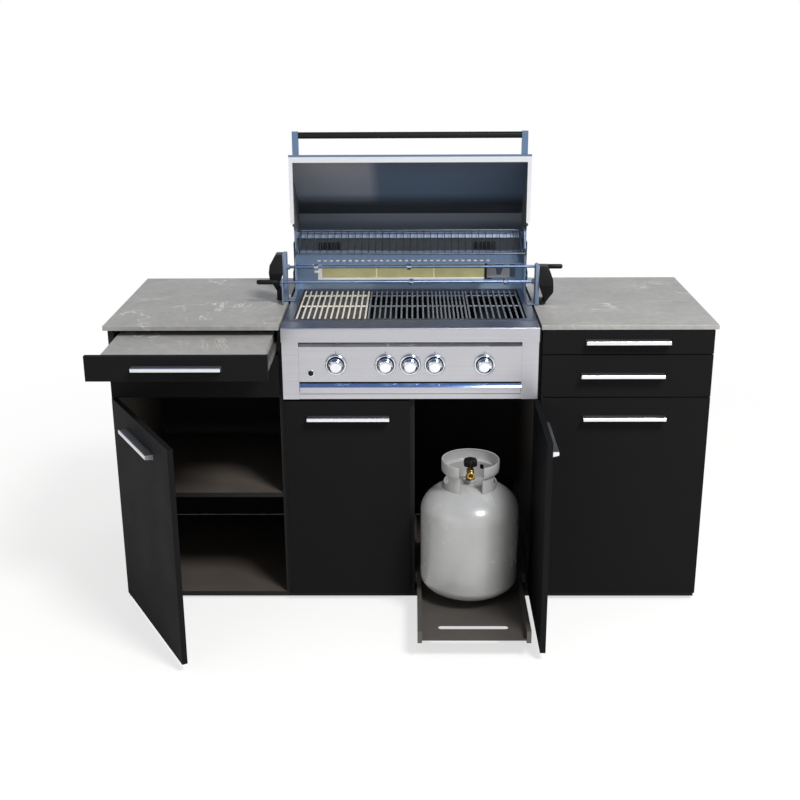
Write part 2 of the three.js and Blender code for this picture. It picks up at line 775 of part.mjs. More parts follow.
function fascia() {
  const back = fasciaFront + sheet;
  const front = fasciaFront - railProud;
  const section = new THREE.Shape();
  section.moveTo(fasciaFront, grillBottom);
  section.lineTo(fasciaFront, railBottom);
  section.lineTo(front, railBottom);
  section.lineTo(front, railTop - railRound);
  section.absarc(front + railRound, railTop - railRound, railRound, Math.PI, Math.PI / 2, true);
  section.lineTo(fasciaTopBack, deckTop - fit - sheet);
  section.lineTo(fasciaTopBack, deckTop - fit - sheet * 2);
  section.lineTo(front + railRound, railTop - sheet);
  section.lineTo(front + sheet, railTop - railRound);
  section.lineTo(front + sheet, railBottom + sheet);
  section.lineTo(back, railBottom + sheet);
  section.lineTo(back, grillBottom);
  const ledge = alongX([
    [fasciaFront, slotLow - sheet],
    [fasciaFront + ledgeRise + sheet, slotLow + ledgeRise],
    [fasciaFront + ledgeRise, slotLow + ledgeRise],
    [fasciaFront, slotLow],
  ], -windowHalf - sheet, windowHalf + sheet);
  piece("grill_fascia", join([
    cut(alongX(section, -grillHalf, grillHalf, 4), [
      block(-windowHalf, windowHalf, fasciaFront - cutOver, back + cutOver, slotLow, railBottom - fit),
      block(-windowHalf, windowHalf, fasciaFront - cutOver, back + cutOver, grillBottom - cutOver, dripSeam),
    ]), ledge]), brushedSteel());
}

// Control panel with a raised ring round each knob; its top leans back under the rail.
const knobGap = 72.5;
const knobReach = 218.3;
const knobXs = [-knobReach, -knobGap, 0, knobGap, knobReach];
const knobUp = 53.5;
const knobZ = panelLow + knobUp;
const bezelOuter = 31;
const bezelInner = 26;
const bezelDeep = 10;
const bezelEase = 1;
const knobRadius = 23.5;
const knobDeep = 29;
const knobEase = 2;
const knobDish = 6;
const buttonX = -293;
const buttonUp = 27;
const buttonZ = panelLow + buttonUp;
const buttonRadius = 7.3;
const buttonOut = 7;
const buttonIn = 9;
const ringSides = 18;

function controlPanel() {
  const lean = railBottom - sheet - panelLeanTall;
  const section = [
    [panelFront, panelLow],
    [panelFront, lean],
    [panelFront + panelLean, railBottom - sheet],
    [panelFront + panelLean + sheet, railBottom - sheet],
    [panelFront + sheet, lean - sheet / 2],
    [panelFront + sheet, panelLow],
  ];
  const bezels = knobXs.map((x) => turnedForward([
    [bezelOuter, -sheet / 2],
    [bezelOuter - bezelEase, bezelDeep],
    [bezelInner + bezelEase, bezelDeep],
    [bezelInner, -sheet / 2],
    [bezelOuter, -sheet / 2],
  ], ringSides, [x, panelFront, knobZ]));
  const bore = bar([buttonX, panelFront - cutOver, buttonZ], [buttonX, cutOver, buttonZ], buttonRadius + fit);
  piece("control_panel", cut(join([alongX(section, -windowHalf + fit, windowHalf - fit), ...bezels]), [bore]),
    brushedSteel());
}

function knobs() {
  knobXs.forEach((x, i) => {
    piece(`knob_${i + 1}`, turnedForward([
      [0, fit],
      [knobRadius, fit],
      [knobRadius, knobDeep - knobEase * 2],
      [knobRadius - knobEase, knobDeep],
      [knobRadius - knobDish, knobDeep],
      [0, knobDeep - knobEase],
    ], ringSides, [x, panelFront, knobZ]), brushedSteel());
  });
  piece("ignition_button", turnedForward([
    [0, -buttonIn],
    [buttonRadius, -buttonIn],
    [buttonRadius, buttonOut / 2],
    [buttonRadius / 2, buttonOut],
    [0, buttonOut + fit],
  ], 12, [buttonX, panelFront, buttonZ]), blackPlastic());
}

// Grill body: a deck with the cooking opening, the tub below it and a funnel down to the drip tray.
const deckSide = 27;
const tubHalf = grillHalf - deckSide;
const tubFront = 74;
const wallY = 460;
const tubBack = wallY - sheet / 2;
const tubDeep = 117;
const funnelTall = 68;
const funnelIn = 60;
const funnelShrink = 80;
const tubBottom = deckTop - tubDeep;
const funnelBottom = tubBottom - funnelTall;
const deckBack = worktopDepth - sheet;
const deckFrontY = fasciaTopBack + fit;
const deckLip = 13;
const grateDrop = 4;
const grateRod = 3;
const grateTop = deckTop - grateDrop;
const grateLedge = 14;
const hangerHalf = slabInner - sheet;
const burnerDrop = 82;
const burnerZ = deckTop - burnerDrop;
const burnerRadius = 17;
const railY = 60;
const burnerShares = [-0.743, -0.251, 0.251, 0.743];
const burnerXs = burnerShares.map((share) => share * tubHalf);

// A box whose lower end is smaller than its upper end.
function frustum(low, high, z0, z1) {
  const box = new THREE.BoxGeometry(1, 1, 1);
  const place = box.attributes.position;
  for (let i = 0; i < place.count; i += 1) {
    const up = place.getZ(i) > 0;
    const [x0, x1, y0, y1] = up ? high : low;
    place.setXYZ(i, place.getX(i) > 0 ? x1 : x0, place.getY(i) > 0 ? y1 : y0, up ? z1 : z0);
  }
  return solid(box);
}

function grillBody() {
  const deckBottom = deckTop - sheet;
  const deckHalf = grillHalf - sheet;
  const tub = (wall) => [-tubHalf + wall, tubHalf - wall, tubFront + wall, tubBack - wall];
  const mouth = (wall) => [-tubHalf + funnelIn + wall, tubHalf - funnelIn - wall, tubFront + funnelShrink + wall,
    tubBack - funnelShrink - wall];
  const outer = join([
    block(...tub(0), tubBottom, deckTop),
    frustum(mouth(0), tub(0), funnelBottom, tubBottom),
  ]);
  const inner = [
    block(...tub(sheet), tubBottom, deckTop + cutOver),
    frustum(mouth(sheet), tub(sheet), funnelBottom - fit, tubBottom + fit),
  ];
  const hangerZ = panelTop + fit;
  const hanger = (x0, x1, foot0, foot1) => [
    block(x0, x1, deckFrontY, deckBack, hangerZ, deckTop),
    block(foot0, foot1, deckFrontY, deckBack, hangerZ, hangerZ + sheet),
  ];
  const deck = join([
    block(-deckHalf, deckHalf, deckFrontY, deckBack, deckBottom, deckTop),
    ...hanger(-deckHalf, -deckHalf + sheet, -hangerHalf, -deckHalf + sheet),
    ...hanger(deckHalf - sheet, deckHalf, deckHalf - sheet, hangerHalf),
  ]);
  const ledgeZ = grateTop - grateRod * 2 - fit;
  const ledgeHalf = tubHalf - sheet / 2;
  const ledges = join([
    block(-ledgeHalf, ledgeHalf, tubFront + sheet / 2, tubFront + grateLedge, ledgeZ - sheet, ledgeZ),
    block(-ledgeHalf, ledgeHalf, tubBack - grateLedge, tubBack - sheet / 2, ledgeZ - sheet, ledgeZ),
  ]);
  const boreRadius = burnerRadius + sheet / 2;
  const bores = burnerXs.map((x) => bar([x, railY, burnerZ], [x, tubFront + cutOver, burnerZ], boreRadius));
  piece("grill_body", join([cut(join([deck, outer]), [...inner, ...bores]), ledges]), brushedSteel());
}

// Cooking grates: round rods on two cross bars.
const grateGap = 5;
const grateJoint = 2;
const grateFront = tubFront + grateGap + grateJoint / 2;
const grateBack = tubBack - grateGap - grateJoint;
const grateCrossShares = [0.51, 0.88];
const grateEdge = tubHalf - grateGap;
const grateSplitLeftShare = -0.38;
const grateSplitRightShare = 0.504;
const grateStepShares = [0.162, 0.203];
const grateSplitLeft = grateEdge * grateSplitLeftShare;
const grateSplitRight = grateEdge * grateSplitRightShare;
const grateStep = grateStepShares.map((share) => share * grateEdge);
const crossWide = 5;
const crossTall = 7;

function grate(name, rodXs, x0, x1) {
  const z = grateTop - grateRod;
  const rods = rodXs.map((x) => bar([x, grateFront, z], [x, grateBack, z], grateRod, 4));
  const cross = grateCrossShares.map((share) => {
    const y = grateFront + (grateBack - grateFront) * share;
    return block(x0, x1, y - crossWide / 2, y + crossWide / 2, z - crossTall, z - grateRod / 2);
  });
  piece(name, join([...cross, ...rods]), brushedSteel());
}

function spread(from, to, count) {
  return Array.from({ length: count }, (_, i) => from + ((to - from) * i) / (count - 1));
}

function grates() {
  const edge = grateRod + grateJoint / 2;
  const [fineFrom, wideTo] = [grateStep[1], grateStep[0]];
  grate("grate_left", spread(-grateEdge + edge, grateSplitLeft - edge, 13), -grateEdge, grateSplitLeft);
  grate("grate_middle", [...spread(grateSplitLeft + edge + grateJoint, wideTo, 12),
    ...spread(fineFrom, grateSplitRight - edge, 9)], grateSplitLeft + grateJoint, grateSplitRight);
  grate("grate_right", spread(grateSplitRight + edge + grateJoint, grateEdge - edge, 10),
    grateSplitRight + grateJoint, grateEdge);
}

// Burners: four tubes on a gas rail, each under a folded heat plate that stands on two studs.
const gasRailRadius = 11;
const gasRailOver = 40;
const burnerShort = 25;
const heatPlateHalf = 48;
const heatPlateUp = 24;
const heatPlateFall = 16;
const studHalf = 4;
const studInset = 40;

function burners() {
  const back = grateBack - burnerShort;
  const front = tubFront + grateLedge + grateJoint;
  const ridge = burnerZ + burnerRadius + heatPlateUp;
  const solids = [];
  burnerXs.forEach((x) => {
    solids.push(bar([x, railY, burnerZ], [x, back, burnerZ], burnerRadius, 10));
    solids.push(alongY([
      [x - heatPlateHalf, ridge - heatPlateFall],
      [x - heatPlateHalf, ridge - heatPlateFall - sheet],
      [x, ridge - sheet],
      [x + heatPlateHalf, ridge - heatPlateFall - sheet],
      [x + heatPlateHalf, ridge - heatPlateFall],
      [x, ridge],
    ], front, back));
    [front + studInset, back - studInset].forEach((y) => {
      solids.push(block(x - studHalf, x + studHalf, y - studHalf, y + studHalf, burnerZ, ridge - sheet));
    });
  });
  const reach = burnerXs[3] + gasRailOver;
  solids.push(bar([-reach, railY, burnerZ], [reach, railY, burnerZ], gasRailRadius, 10));
  piece("burner_set", join(solids), brushedSteel());
}

// Rear housing: two wings, the back wall with vents and a slotted shelf that slopes to the rear burner.
const wingIn = 12;
const wingX = grillHalf - wingIn;
const wingTall = 200;
const wingFootDeep = 100;
const wingHeelUp = 30;
const wingHeelIn = 4;
const wingBendUp = 148;
const wingBendDeep = 72;
const wingTopDeep = 40;
const wallTall = 169;
const shelfUp = 126;
const shelfDrop = 32;
const shelfOut = 50;
const pivotIn = 27.5;
const pivotUp = 50.5;
const pivotY = wallY - pivotIn;
const pivotZ = deckTop + pivotUp;
const hingePinRadius = 5;
const hoodOver = 2;
const hoodHalf = grillHalf + hoodOver;
const hoodSheet = 1.5;
const ventWide = 8;
const ventTall = 26;
const ventStep = 14;
const ventUp = 131;
const ventX = 252;
const ventShift = 12;
const rackFrontOut = 95;
const rackFrontUp = 136;
const rackHook = 32;
const rackWire = 3;
const shelfSlotWide = 11;
const shelfSlotDeep = 5;
const shelfSlotShare = 0.72;
const shelfSlotLeft = -294;
const shelfSlotRight = 250;
const shelfSlotCount = 28;

function rearHousing() {
  const bottom = deckTop + fit;
  const back = wallY + sheet;
  const wing = [
    [wallY - wingFootDeep, bottom],
    [back, bottom],
    [back, bottom + wingTall],
    [wallY - wingTopDeep, bottom + wingTall],
    [wallY - wingBendDeep, bottom + wingBendUp],
    [wallY - wingFootDeep + wingHeelIn, bottom + wingHeelUp],
  ];
  const shelfHigh = bottom + shelfUp;
  const shelf = alongX([
    [back - sheet / 2, shelfHigh],
    [wallY - shelfOut, shelfHigh - shelfDrop],
    [wallY - shelfOut, shelfHigh - shelfDrop - sheet],
    [back - sheet / 2, shelfHigh - sheet * 2],
  ], -wingX - sheet / 2, wingX + sheet / 2);
  const slotY = wallY - shelfOut * shelfSlotShare;
  const slots = spread(shelfSlotLeft, shelfSlotRight, shelfSlotCount).map((x) => block(x - shelfSlotWide / 2,
    x + shelfSlotWide / 2, slotY - shelfSlotDeep / 2, slotY + shelfSlotDeep / 2, bottom, shelfHigh + cutOver));
  const vents = [];
  [-ventX - ventShift, ventX - ventShift].forEach((centre) => {
    spread(-ventStep * 2, ventStep * 2, 5).forEach((dx) => {
      const x = centre + dx;
      vents.push(block(x - ventWide / 2, x + ventWide / 2, wallY - cutOver / 2, wallY + cutOver, bottom + ventUp,
        bottom + ventUp + ventTall));
    });
  });
  const tip = hoodHalf + sheet / 2;
  const root = wingX + sheet / 2;
  const hookHole = [wallY - rackFrontOut + rackHook, deckTop + rackFrontUp];
  const hookHoles = bar([-wingX - cutOver, ...hookHole], [wingX + cutOver, ...hookHole], rackWire + fit);
  piece("rear_housing", join([
    cut(alongX(wing, -wingX - sheet, -wingX), [hookHoles]),
    cut(alongX(wing, wingX, wingX + sheet), [hookHoles]),
    cut(block(-root, root, wallY, back, bottom, bottom + wallTall), vents),
    cut(shelf, slots),
    bar([-tip, pivotY, pivotZ], [-root, pivotY, pivotZ], hingePinRadius),
    bar([root, pivotY, pivotZ], [tip, pivotY, pivotZ], hingePinRadius),
  ]), brushedSteel());
}

// Rear burner: a sheet frame round three ceramic fields, with a notched bracket at its right end.
const rearBurnerShift = 28.5;
const rearBurnerLong = 529;
const rearBurnerTall = 49;
const rearBurnerUp = 44;
const rearBurnerDeep = 46;
const fieldEdge = 5;
const fieldPost = 7;
const fieldDeep = 5;
const bracketLong = 78;
const bracketThick = 4;
const notchTopShare = 0.62;
const notchLowShare = 0.3;

function rearBurner() {
  const y1 = wallY - fit;
  const y0 = wallY - rearBurnerDeep;
  const x0 = -rearBurnerShift - rearBurnerLong / 2;
  const x1 = x0 + rearBurnerLong;
  const z0 = deckTop + rearBurnerUp;
  const z1 = z0 + rearBurnerTall;
  const pitch = rearBurnerLong / 3;
  const fields = [0, 1, 2].map((i) => block(x0 + pitch * i + fieldPost / 2, x0 + pitch * (i + 1) - fieldPost / 2,
    y0 - cutOver, y0 + fieldDeep, z0 + fieldEdge, z1 - fieldEdge));
  const end = x1 + bracketLong;
  const middle = x1 + bracketLong / 2;
  const high = z1 - fit;
  const notch = bracketLong * notchTopShare / 2;
  const foot = bracketLong * notchLowShare / 4;
  const bracket = alongY([
    [x1 - sheet, z0],
    [end - fieldPost, z0],
    [end, high],
    [middle + notch, high],
    [middle + foot, z0 + fieldPost],
    [middle - foot, z0 + fieldPost],
    [middle - notch, high],
    [x1 - sheet, high],
  ], y1 - bracketThick, y1);
  piece("rear_burner", join([cut(block(x0, x1, y0, y1, z0, z1), fields), bracket]), brushedSteel());
}

// Hood: a folded front and top between two side sheets, hung on the pins of the rear housing.
// The shares place the bends of its section between the lip and the back, and between the lip and the top.
const hoodReach = 392.5;
const hoodDeep = 436;
const hoodTall = 305;
const hoodGap = 8;
const hoodBackTall = 85;
const hoodBendYShares = [0, 0.404, 0.46, 0.526, 0.826, 0.92, 0.975, 1];
const hoodBendZShares = [0, 0.836, 0.9, 0.937, 1, 0.996, 0.972, 0.92];
const hoodLipY = pivotY - hoodReach;
const hoodBackY = hoodLipY + hoodDeep;
const hoodLow = deckTop + hoodGap;
const lipFlange = 24;
const sideFlange = 12;
const lipWall = 2.2;
const spitY1 = 170.5;
const spitZ1 = 18.5;
const spitY2 = 116.5;
const spitZ2 = 54.5;
const spitRadius = 4.5;
const notchSpace = 8;
const flangeSpace = 2;
const handleReach = 450.7;
const handleDrop = 30.5;
const handleRadius = 10;
const postHalf = 9.5;
const postIn = 22.5;
const postOver = 12;
const earSpace = 14;

function hoodSkin() {
  const outer = hoodBendYShares.map((share, i) => [hoodLipY + share * hoodDeep,
    hoodLow + hoodBendZShares[i] * hoodTall]);
  const backLow = [hoodBackY, hoodLow + hoodBackTall];
  const inner = outer.slice(1).map(([y, z], i) => {
    const [y0, z0] = outer[i];
    const [y2, z2] = outer[i + 2] || backLow;
    const along = new THREE.Vector2(y2 - y0, z2 - z0).normalize();
    return [y + along.y * hoodSheet, z - along.x * hoodSheet];
  });
  const ends = [[hoodLipY + lipWall, hoodLow], [hoodBackY - hoodSheet, hoodLow + hoodBackTall]];
  return { outer: [...outer, backLow], inner: [ends[0], ...inner, ends[1]] };
}

function hood() {
  const group = swung(0, pivotY, pivotZ, "x", -hoodOpen);
  const { outer, inner } = hoodSkin();
  const skin = alongX([...outer, ...inner.reverse()], -hoodHalf, hoodHalf);
  const spitPath = pivotY - Math.hypot(spitY1, spitZ1) - spitRadius;
  const notchFront = spitPath - notchSpace;
  const notchBack = pivotY - spitY2 + spitRadius + notchSpace;
  const notchHigh = pivotZ + spitZ2 + spitRadius + notchSpace;
  const side = [
    ...outer,
    [notchBack, pivotZ + pivotUp / 2],
    [notchBack, notchHigh],
    [notchBack - spitRadius * 6, notchHigh],
    [notchFront, pivotZ + spitZ1 + spitRadius * 2],
    [notchFront, hoodLow],
  ];
  const both = (section) => [
    alongX(section, -hoodHalf, -hoodHalf + hoodSheet),
    alongX(section, hoodHalf - hoodSheet, hoodHalf),
  ];
  const ear = [
    [pivotY - earSpace * 2, hoodLow + hoodTall / 2],
    [hoodBackY, hoodLow + hoodTall / 2],
    [hoodBackY, hoodLow + hoodBackTall],
    [pivotY + earSpace, pivotZ - earSpace],
    [pivotY - earSpace, pivotZ - earSpace],
    [pivotY - earSpace * 1.5, pivotZ + earSpace],
  ];
  const lip = block(-hoodHalf, hoodHalf, hoodLipY + hoodSheet / 2, hoodLipY + lipFlange, hoodLow, hoodLow + hoodSheet);
  const flange = (x0, x1) => block(x0, x1, hoodLipY + lipWall, spitPath - flangeSpace, hoodLow,
    hoodLow + hoodSheet);
  const handleY = pivotY - handleReach;
  const handleZ = pivotZ - handleDrop;
  const postX = hoodHalf - postIn;
  const posts = [-postX, postX].map((x) => block(x - postHalf, x + postHalf, handleY - postOver, hoodLipY + postHalf,
    handleZ - postHalf, handleZ + postHalf));
  const pinBores = [-1, 1].map((end) => bar([end * (hoodHalf - cutOver / 2), pivotY, pivotZ],
    [end * (hoodHalf + cutOver), pivotY, pivotZ], hingePinRadius + fit));
  piece("hood", cut(join([skin, ...both(side), ...both(ear), lip, flange(-hoodHalf, -hoodHalf + sideFlange),
    flange(hoodHalf - sideFlange, hoodHalf), ...posts]), pinBores), brushedSteel(), group);
  const gripHalfLong = postX - postHalf - fit;
  piece("hood_handle", bar([-gripHalfLong, handleY, handleZ], [gripHalfLong, handleY, handleZ], handleRadius, 16),
    blackPlastic(), group);
}

// Warming rack: a tilted wire frame whose two hooks sit in holes of the wings.
const rackDeep = 87;
const rackRise = 59;
const rackIn = 13;
const rackRod = 1.6;
const rackRods = 31;

function warmingRack() {
  const [y0, z0] = [wallY - rackFrontOut, deckTop + rackFrontUp];
  const [y1, z1] = [y0 + rackDeep, z0 + rackRise];
  const half = wingX - rackIn;
  const parts = [
    bar([-wingX + fit, y0, z0], [wingX - fit, y0, z0], rackWire, 6),
    bar([-half, y1, z1], [half, y1, z1], rackWire, 6),
    bar([-half, y0, z0], [-half, y1, z1], rackWire, 6),
    bar([half, y0, z0], [half, y1, z1], rackWire, 6),
  ];
  [-1, 1].forEach((end) => {
    const hookX = end * (wingX - fit - rackWire);
    parts.push(bar([hookX, y0 - rackWire, z0], [hookX, y0 + rackHook + rackWire, z0], rackWire, 6));
    parts.push(bar([hookX, y0 + rackHook, z0], [end * (wingX + sheet + rackWire), y0 + rackHook, z0], rackWire, 6));
  });
  spread(-half, half, rackRods + 2).slice(1, -1).forEach((x) => parts.push(bar([x, y0, z0], [x, y1, z1], rackRod, 4)));
  piece("warming_rack", join(parts), brushedSteel());
}

// Spits and their motors. Each motor sits on the deck with a foot and reaches over the slab.
const plateIn = grillHalf + deckSide / 2 - sheet * 2;
const plateThick = 12;
const plateOut = plateIn + plateThick;
const plateHalf = 24;
const spitEnd = 6;
const gripGap = 2;
const gripLong = 77;
const gripRadius = 7;
const collarSmall = 9;
const collarWide = 14;
const frontSpit = [pivotY - spitY1, pivotZ + spitZ1];
const rearSpit = [pivotY - spitY2, pivotZ + spitZ2];
const spitCollarX = 296;
const spitCollarShift = 4;

function spit(name, [y, z], gripSide) {
  const inEnd = -gripSide * (plateIn + spitEnd);
  const gripStart = gripSide * (plateOut + gripGap);
  const gripEnd = gripSide * (plateOut + gripGap + gripLong);
  const low = Math.min(inEnd, (gripStart + gripEnd) / 2);
  const high = Math.max(inEnd, (gripStart + gripEnd) / 2);
  const collar = (x) => bar([x - collarWide / 2, y, z], [x + collarWide / 2, y, z], collarSmall, 10);
  piece(name, join([
    bar([low, y, z], [high, y, z], spitRadius, 8),
    bar([Math.min(gripStart, gripEnd), y, z], [Math.max(gripStart, gripEnd), y, z], gripRadius, 10),
    collar(-gripSide * spitCollarShift),
    collar(-gripSide * spitCollarX),
  ]), brushedSteel());
}

// The shell's section runs from the plate outwards; its shares are of the shell's depth and height.
const shellDeep = 47;
const shellHalf = 38;
const shellOutShares = [0, 0.55, 0.94, 1, 0.94, 0.51, 0.47, 0];
const shellUpShares = [1, 1, 0.7, 0.5, 0.36, 0.15, 0, 0];
const plateLift = 2.2;
const footIn = 24;
const lobeHalf = 12;
const cheekThick = 4;
const boreSpace = 0.7;
const frontMotorTall = 122;
const rearMotorTall = 153;
const frontShellLift = 3;
const rearShellLift = 33;

function motor(name, side, [y, z], [otherY, otherZ], tall, shellLift) {
  const seat = deckTop + fit;
  const high = seat + tall;
  const shellLow = seat + shellLift;
  const range = (a, b) => [Math.min(side * a, side * b), Math.max(side * a, side * b)];
  const plate = block(...range(plateIn, plateOut), y - plateHalf, y + plateHalf, seat, high);
  const foot = block(...range(plateIn - footIn, plateIn + sheet), y - plateHalf, y + plateHalf, seat, seat + sheet);
  const lobe = block(...range(plateOut - cheekThick, plateOut), Math.min(y, otherY - lobeHalf),
    Math.max(y, otherY + lobeHalf), seat, otherZ);
  const lobeEnd = bar([side * (plateOut - cheekThick), otherY, otherZ], [side * plateOut, otherY, otherZ], lobeHalf);
  const shell = shellOutShares.map((share, i) => [side * (plateOut - sheet / 2 + share * shellDeep),
    shellLow + shellUpShares[i] * (high - shellLow)]);
  if (side < 0) shell.reverse();
  const bore = (fromX, toX, by, bz) => bar([side * fromX, by, bz], [side * toX, by, bz], spitRadius + boreSpace);
  piece(name, cut(join([plate, foot, lobe, lobeEnd, alongY(shell, y - shellHalf, y + shellHalf)]), [
    bore(plateIn - cutOver, plateIn + spitEnd + gripGap, y, z),
    bore(plateIn - cutOver, plateOut + cutOver, otherY, otherZ),
  ]), blackPlastic());
}

// Drip tray: a long shallow tray that runs under the funnel and shows as the lowest strip of the front.
const dripDeep = 449;

function dripTray() {
  const group = drawn(0);
  const half = windowHalf - fit;
  const low = grillBottom + standoff;
  piece("drip_tray", cut(block(-half, half, fasciaFront, fasciaFront + dripDeep, low, dripSeam - bayReveal), [
    block(-half + sheet, half - sheet, fasciaFront + sheet, fasciaFront + dripDeep - sheet, low + sheet,
      dripSeam + cutOver)]), brushedSteel(), group);
}

function grill() {
  fascia();
  controlPanel();
  knobs();
  grillBody();
  grates();
  burners();
  rearHousing();
  rearBurner();
  hood();
  warmingRack();
  spit("spit_front", frontSpit, -1);
  spit("spit_rear", rearSpit, 1);
  motor("motor_front", 1, frontSpit, rearSpit, frontMotorTall, frontShellLift);
  motor("motor_rear", -1, rearSpit, frontSpit, rearMotorTall, rearShellLift);
  dripTray();
}

carcass();
slab("slab_left", -worktopHalf, -slabInner);
slab("slab_right", slabInner, worktopHalf);
fronts();
gasDrawer();
grill();

// The origin is under the middle of the whole island, on the ground.
island.updateMatrixWorld(true);
const extent = new THREE.Box3().setFromObject(island);
const middle = extent.getCenter(new THREE.Vector3());
island.position.set(-middle.x, -middle.y, -extent.min.z);

export default island;
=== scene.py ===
# Outdoor kitchen island: dark cabinets under grey stone tops, with a gas grill between them.
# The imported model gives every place; lengths here are millimetres from the middle of the
# closed fronts at ground level, and one function turns them into the model's metres.
import math

import bmesh
import bpy
from mathutils import Matrix, Vector


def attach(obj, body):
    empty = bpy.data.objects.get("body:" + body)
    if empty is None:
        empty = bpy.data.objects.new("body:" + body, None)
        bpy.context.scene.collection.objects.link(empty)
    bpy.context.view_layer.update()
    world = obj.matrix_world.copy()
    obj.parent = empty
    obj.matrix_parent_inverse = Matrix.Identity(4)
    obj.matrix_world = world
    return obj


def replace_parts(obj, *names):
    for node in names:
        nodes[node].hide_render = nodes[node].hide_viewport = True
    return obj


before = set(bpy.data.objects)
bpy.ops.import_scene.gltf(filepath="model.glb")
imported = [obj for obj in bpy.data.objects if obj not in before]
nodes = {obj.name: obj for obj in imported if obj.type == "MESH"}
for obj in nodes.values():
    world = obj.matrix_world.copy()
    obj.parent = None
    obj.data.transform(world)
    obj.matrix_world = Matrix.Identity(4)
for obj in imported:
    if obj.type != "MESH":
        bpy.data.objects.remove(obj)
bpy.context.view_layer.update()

# Camera: stands in front of the grill, somewhat above eye height, and looks down on the
# island by about 19 degrees, as the photographer did.
fronts_y = -0.132985


def at(x, y, z):
    return Vector((x / 1000, fronts_y + y / 1000, z / 1000))


pitch = math.radians(18.5758)
yaw = math.radians(-0.661)
roll = math.radians(0.2992)
ahead = Vector((math.sin(yaw) * math.cos(pitch), math.cos(yaw) * math.cos(pitch), -math.sin(pitch)))
level = Vector((math.cos(yaw), -math.sin(yaw), 0))
below = ahead.cross(level)
across = math.cos(roll) * level + math.sin(roll) * below
upright = math.sin(roll) * level - math.cos(roll) * below
eye = at(8.1, -3337.6, 1788.8)
lens = bpy.data.cameras.new("camera")
lens.sensor_width = 36
lens.lens = 53.267
camera = bpy.data.objects.new("camera", lens)
camera.matrix_world = Matrix.Translation(eye) @ Matrix((across, upright, -ahead)).transposed().to_4x4()
bpy.context.scene.collection.objects.link(camera)
bpy.context.scene.camera = camera

# Studio: an even white surround that mirrors as a blue sky overhead, one large soft lamp from the
# front right and a weak one from the left. The floor is matt and pale near the island, where it
# takes the contact shadow, and melts into white further out.


def linear(code):
    channels = [int(code[i:i + 2], 16) / 255 for i in (1, 3, 5)]
    return tuple(c / 12.92 if c <= 0.04045 else ((c + 0.055) / 1.055) ** 2.4 for c in channels) + (1.0,)


def add(tree, kind, sockets=None, **settings):
    step = tree.nodes.new(kind)
    for key, value in settings.items():
        setattr(step, key, value)
    for key, value in (sockets or {}).items():
        if isinstance(value, bpy.types.Node):
            value = value.outputs[0]
        if isinstance(value, bpy.types.NodeSocket):
            tree.links.new(value, step.inputs[key])
        else:
            step.inputs[key].default_value = linear(value) if isinstance(value, str) else value
    return step


scene = bpy.context.scene
scene.view_settings.view_transform = "Standard"
world = bpy.data.worlds.new("studio")
scene.world = world
world.use_nodes = True
sky = world.node_tree
sky.nodes.clear()
path = add(sky, "ShaderNodeLightPath")
seen = add(sky, "ShaderNodeMath", {0: path.outputs["Is Camera Ray"], 1: path.outputs["Is Transmission Ray"]},
           operation="MAXIMUM")
strength = add(sky, "ShaderNodeMapRange", {"Value": seen, "To Min": 0.62, "To Max": 1.0})
mirrored = add(sky, "ShaderNodeMapRange", {"Value": path.outputs["Is Glossy Ray"], "To Min": 0.0,
                                           "To Max": 0.3})
total = add(sky, "ShaderNodeMath", {0: strength, 1: mirrored}, operation="ADD")
direction = add(sky, "ShaderNodeSeparateXYZ", {"Vector": add(sky, "ShaderNodeTexCoord").outputs["Generated"]})
zenith = add(sky, "ShaderNodeMapRange", {"Value": direction.outputs["Z"], "From Min": 0.12, "From Max": 0.75},
             interpolation_type="SMOOTHSTEP")
high = add(sky, "ShaderNodeMath", {0: zenith, 1: path.outputs["Is Glossy Ray"]}, operation="MULTIPLY")
shade = add(sky, "ShaderNodeMix", {0: high, 6: "#ffffff", 7: "#4a6a9c"}, data_type="RGBA")
surround = add(sky, "ShaderNodeBackground", {"Color": shade.outputs[2], "Strength": total})
add(sky, "ShaderNodeOutputWorld", {"Surface": surround})


def lamp(name, place, target, size, watts):
    data = bpy.data.lights.new(name, "AREA")
    data.shape = "DISK"
    data.size = size
    data.energy = watts
    source = bpy.data.objects.new(name, data)
    turn = (target - place).to_track_quat("-Z", "Y").to_matrix().to_4x4()
    source.matrix_world = Matrix.Translation(place) @ turn
    scene.collection.objects.link(source)


middle = Vector((0, 0, 0.6))
lamp("key_lamp", middle + 5.0 * Vector((0.44, -0.62, 0.9)), middle, 1.6, 330)
lamp("fill_lamp", middle + 5.0 * Vector((-0.7, -0.7, 0.35)), middle, 3.0, 18)


def new_material(name):
    material = bpy.data.materials.new(name)
    material.use_nodes = True
    material.node_tree.nodes.clear()
    return material, material.node_tree


paper, tree = new_material("white_floor_paint")
path = add(tree, "ShaderNodeLightPath")
place = add(tree, "ShaderNodeTexCoord").outputs["Object"]
away = add(tree, "ShaderNodeVectorMath", {0: place}, operation="LENGTH")
fade = add(tree, "ShaderNodeMapRange", {"Value": away.outputs["Value"], "From Min": 1.1, "From Max": 3.2,
                                        "To Min": 0.66, "To Max": 1.0}, interpolation_type="SMOOTHSTEP")
part_glow = add(tree, "ShaderNodeMath", {0: path.outputs["Is Camera Ray"], 1: fade}, operation="MULTIPLY")
matt = add(tree, "ShaderNodeBsdfDiffuse", {"Color": "#f4f4f2"})
glow = add(tree, "ShaderNodeEmission", {"Color": "#ffffff", "Strength": 1.0})
mixed = add(tree, "ShaderNodeMixShader", {0: part_glow, 1: matt, 2: glow})
add(tree, "ShaderNodeOutputMaterial", {"Surface": mixed})
ground = bmesh.new()
bmesh.ops.create_grid(ground, x_segments=1, y_segments=1, size=14)
sheet = bpy.data.meshes.new("floor")
ground.to_mesh(sheet)
ground.free()
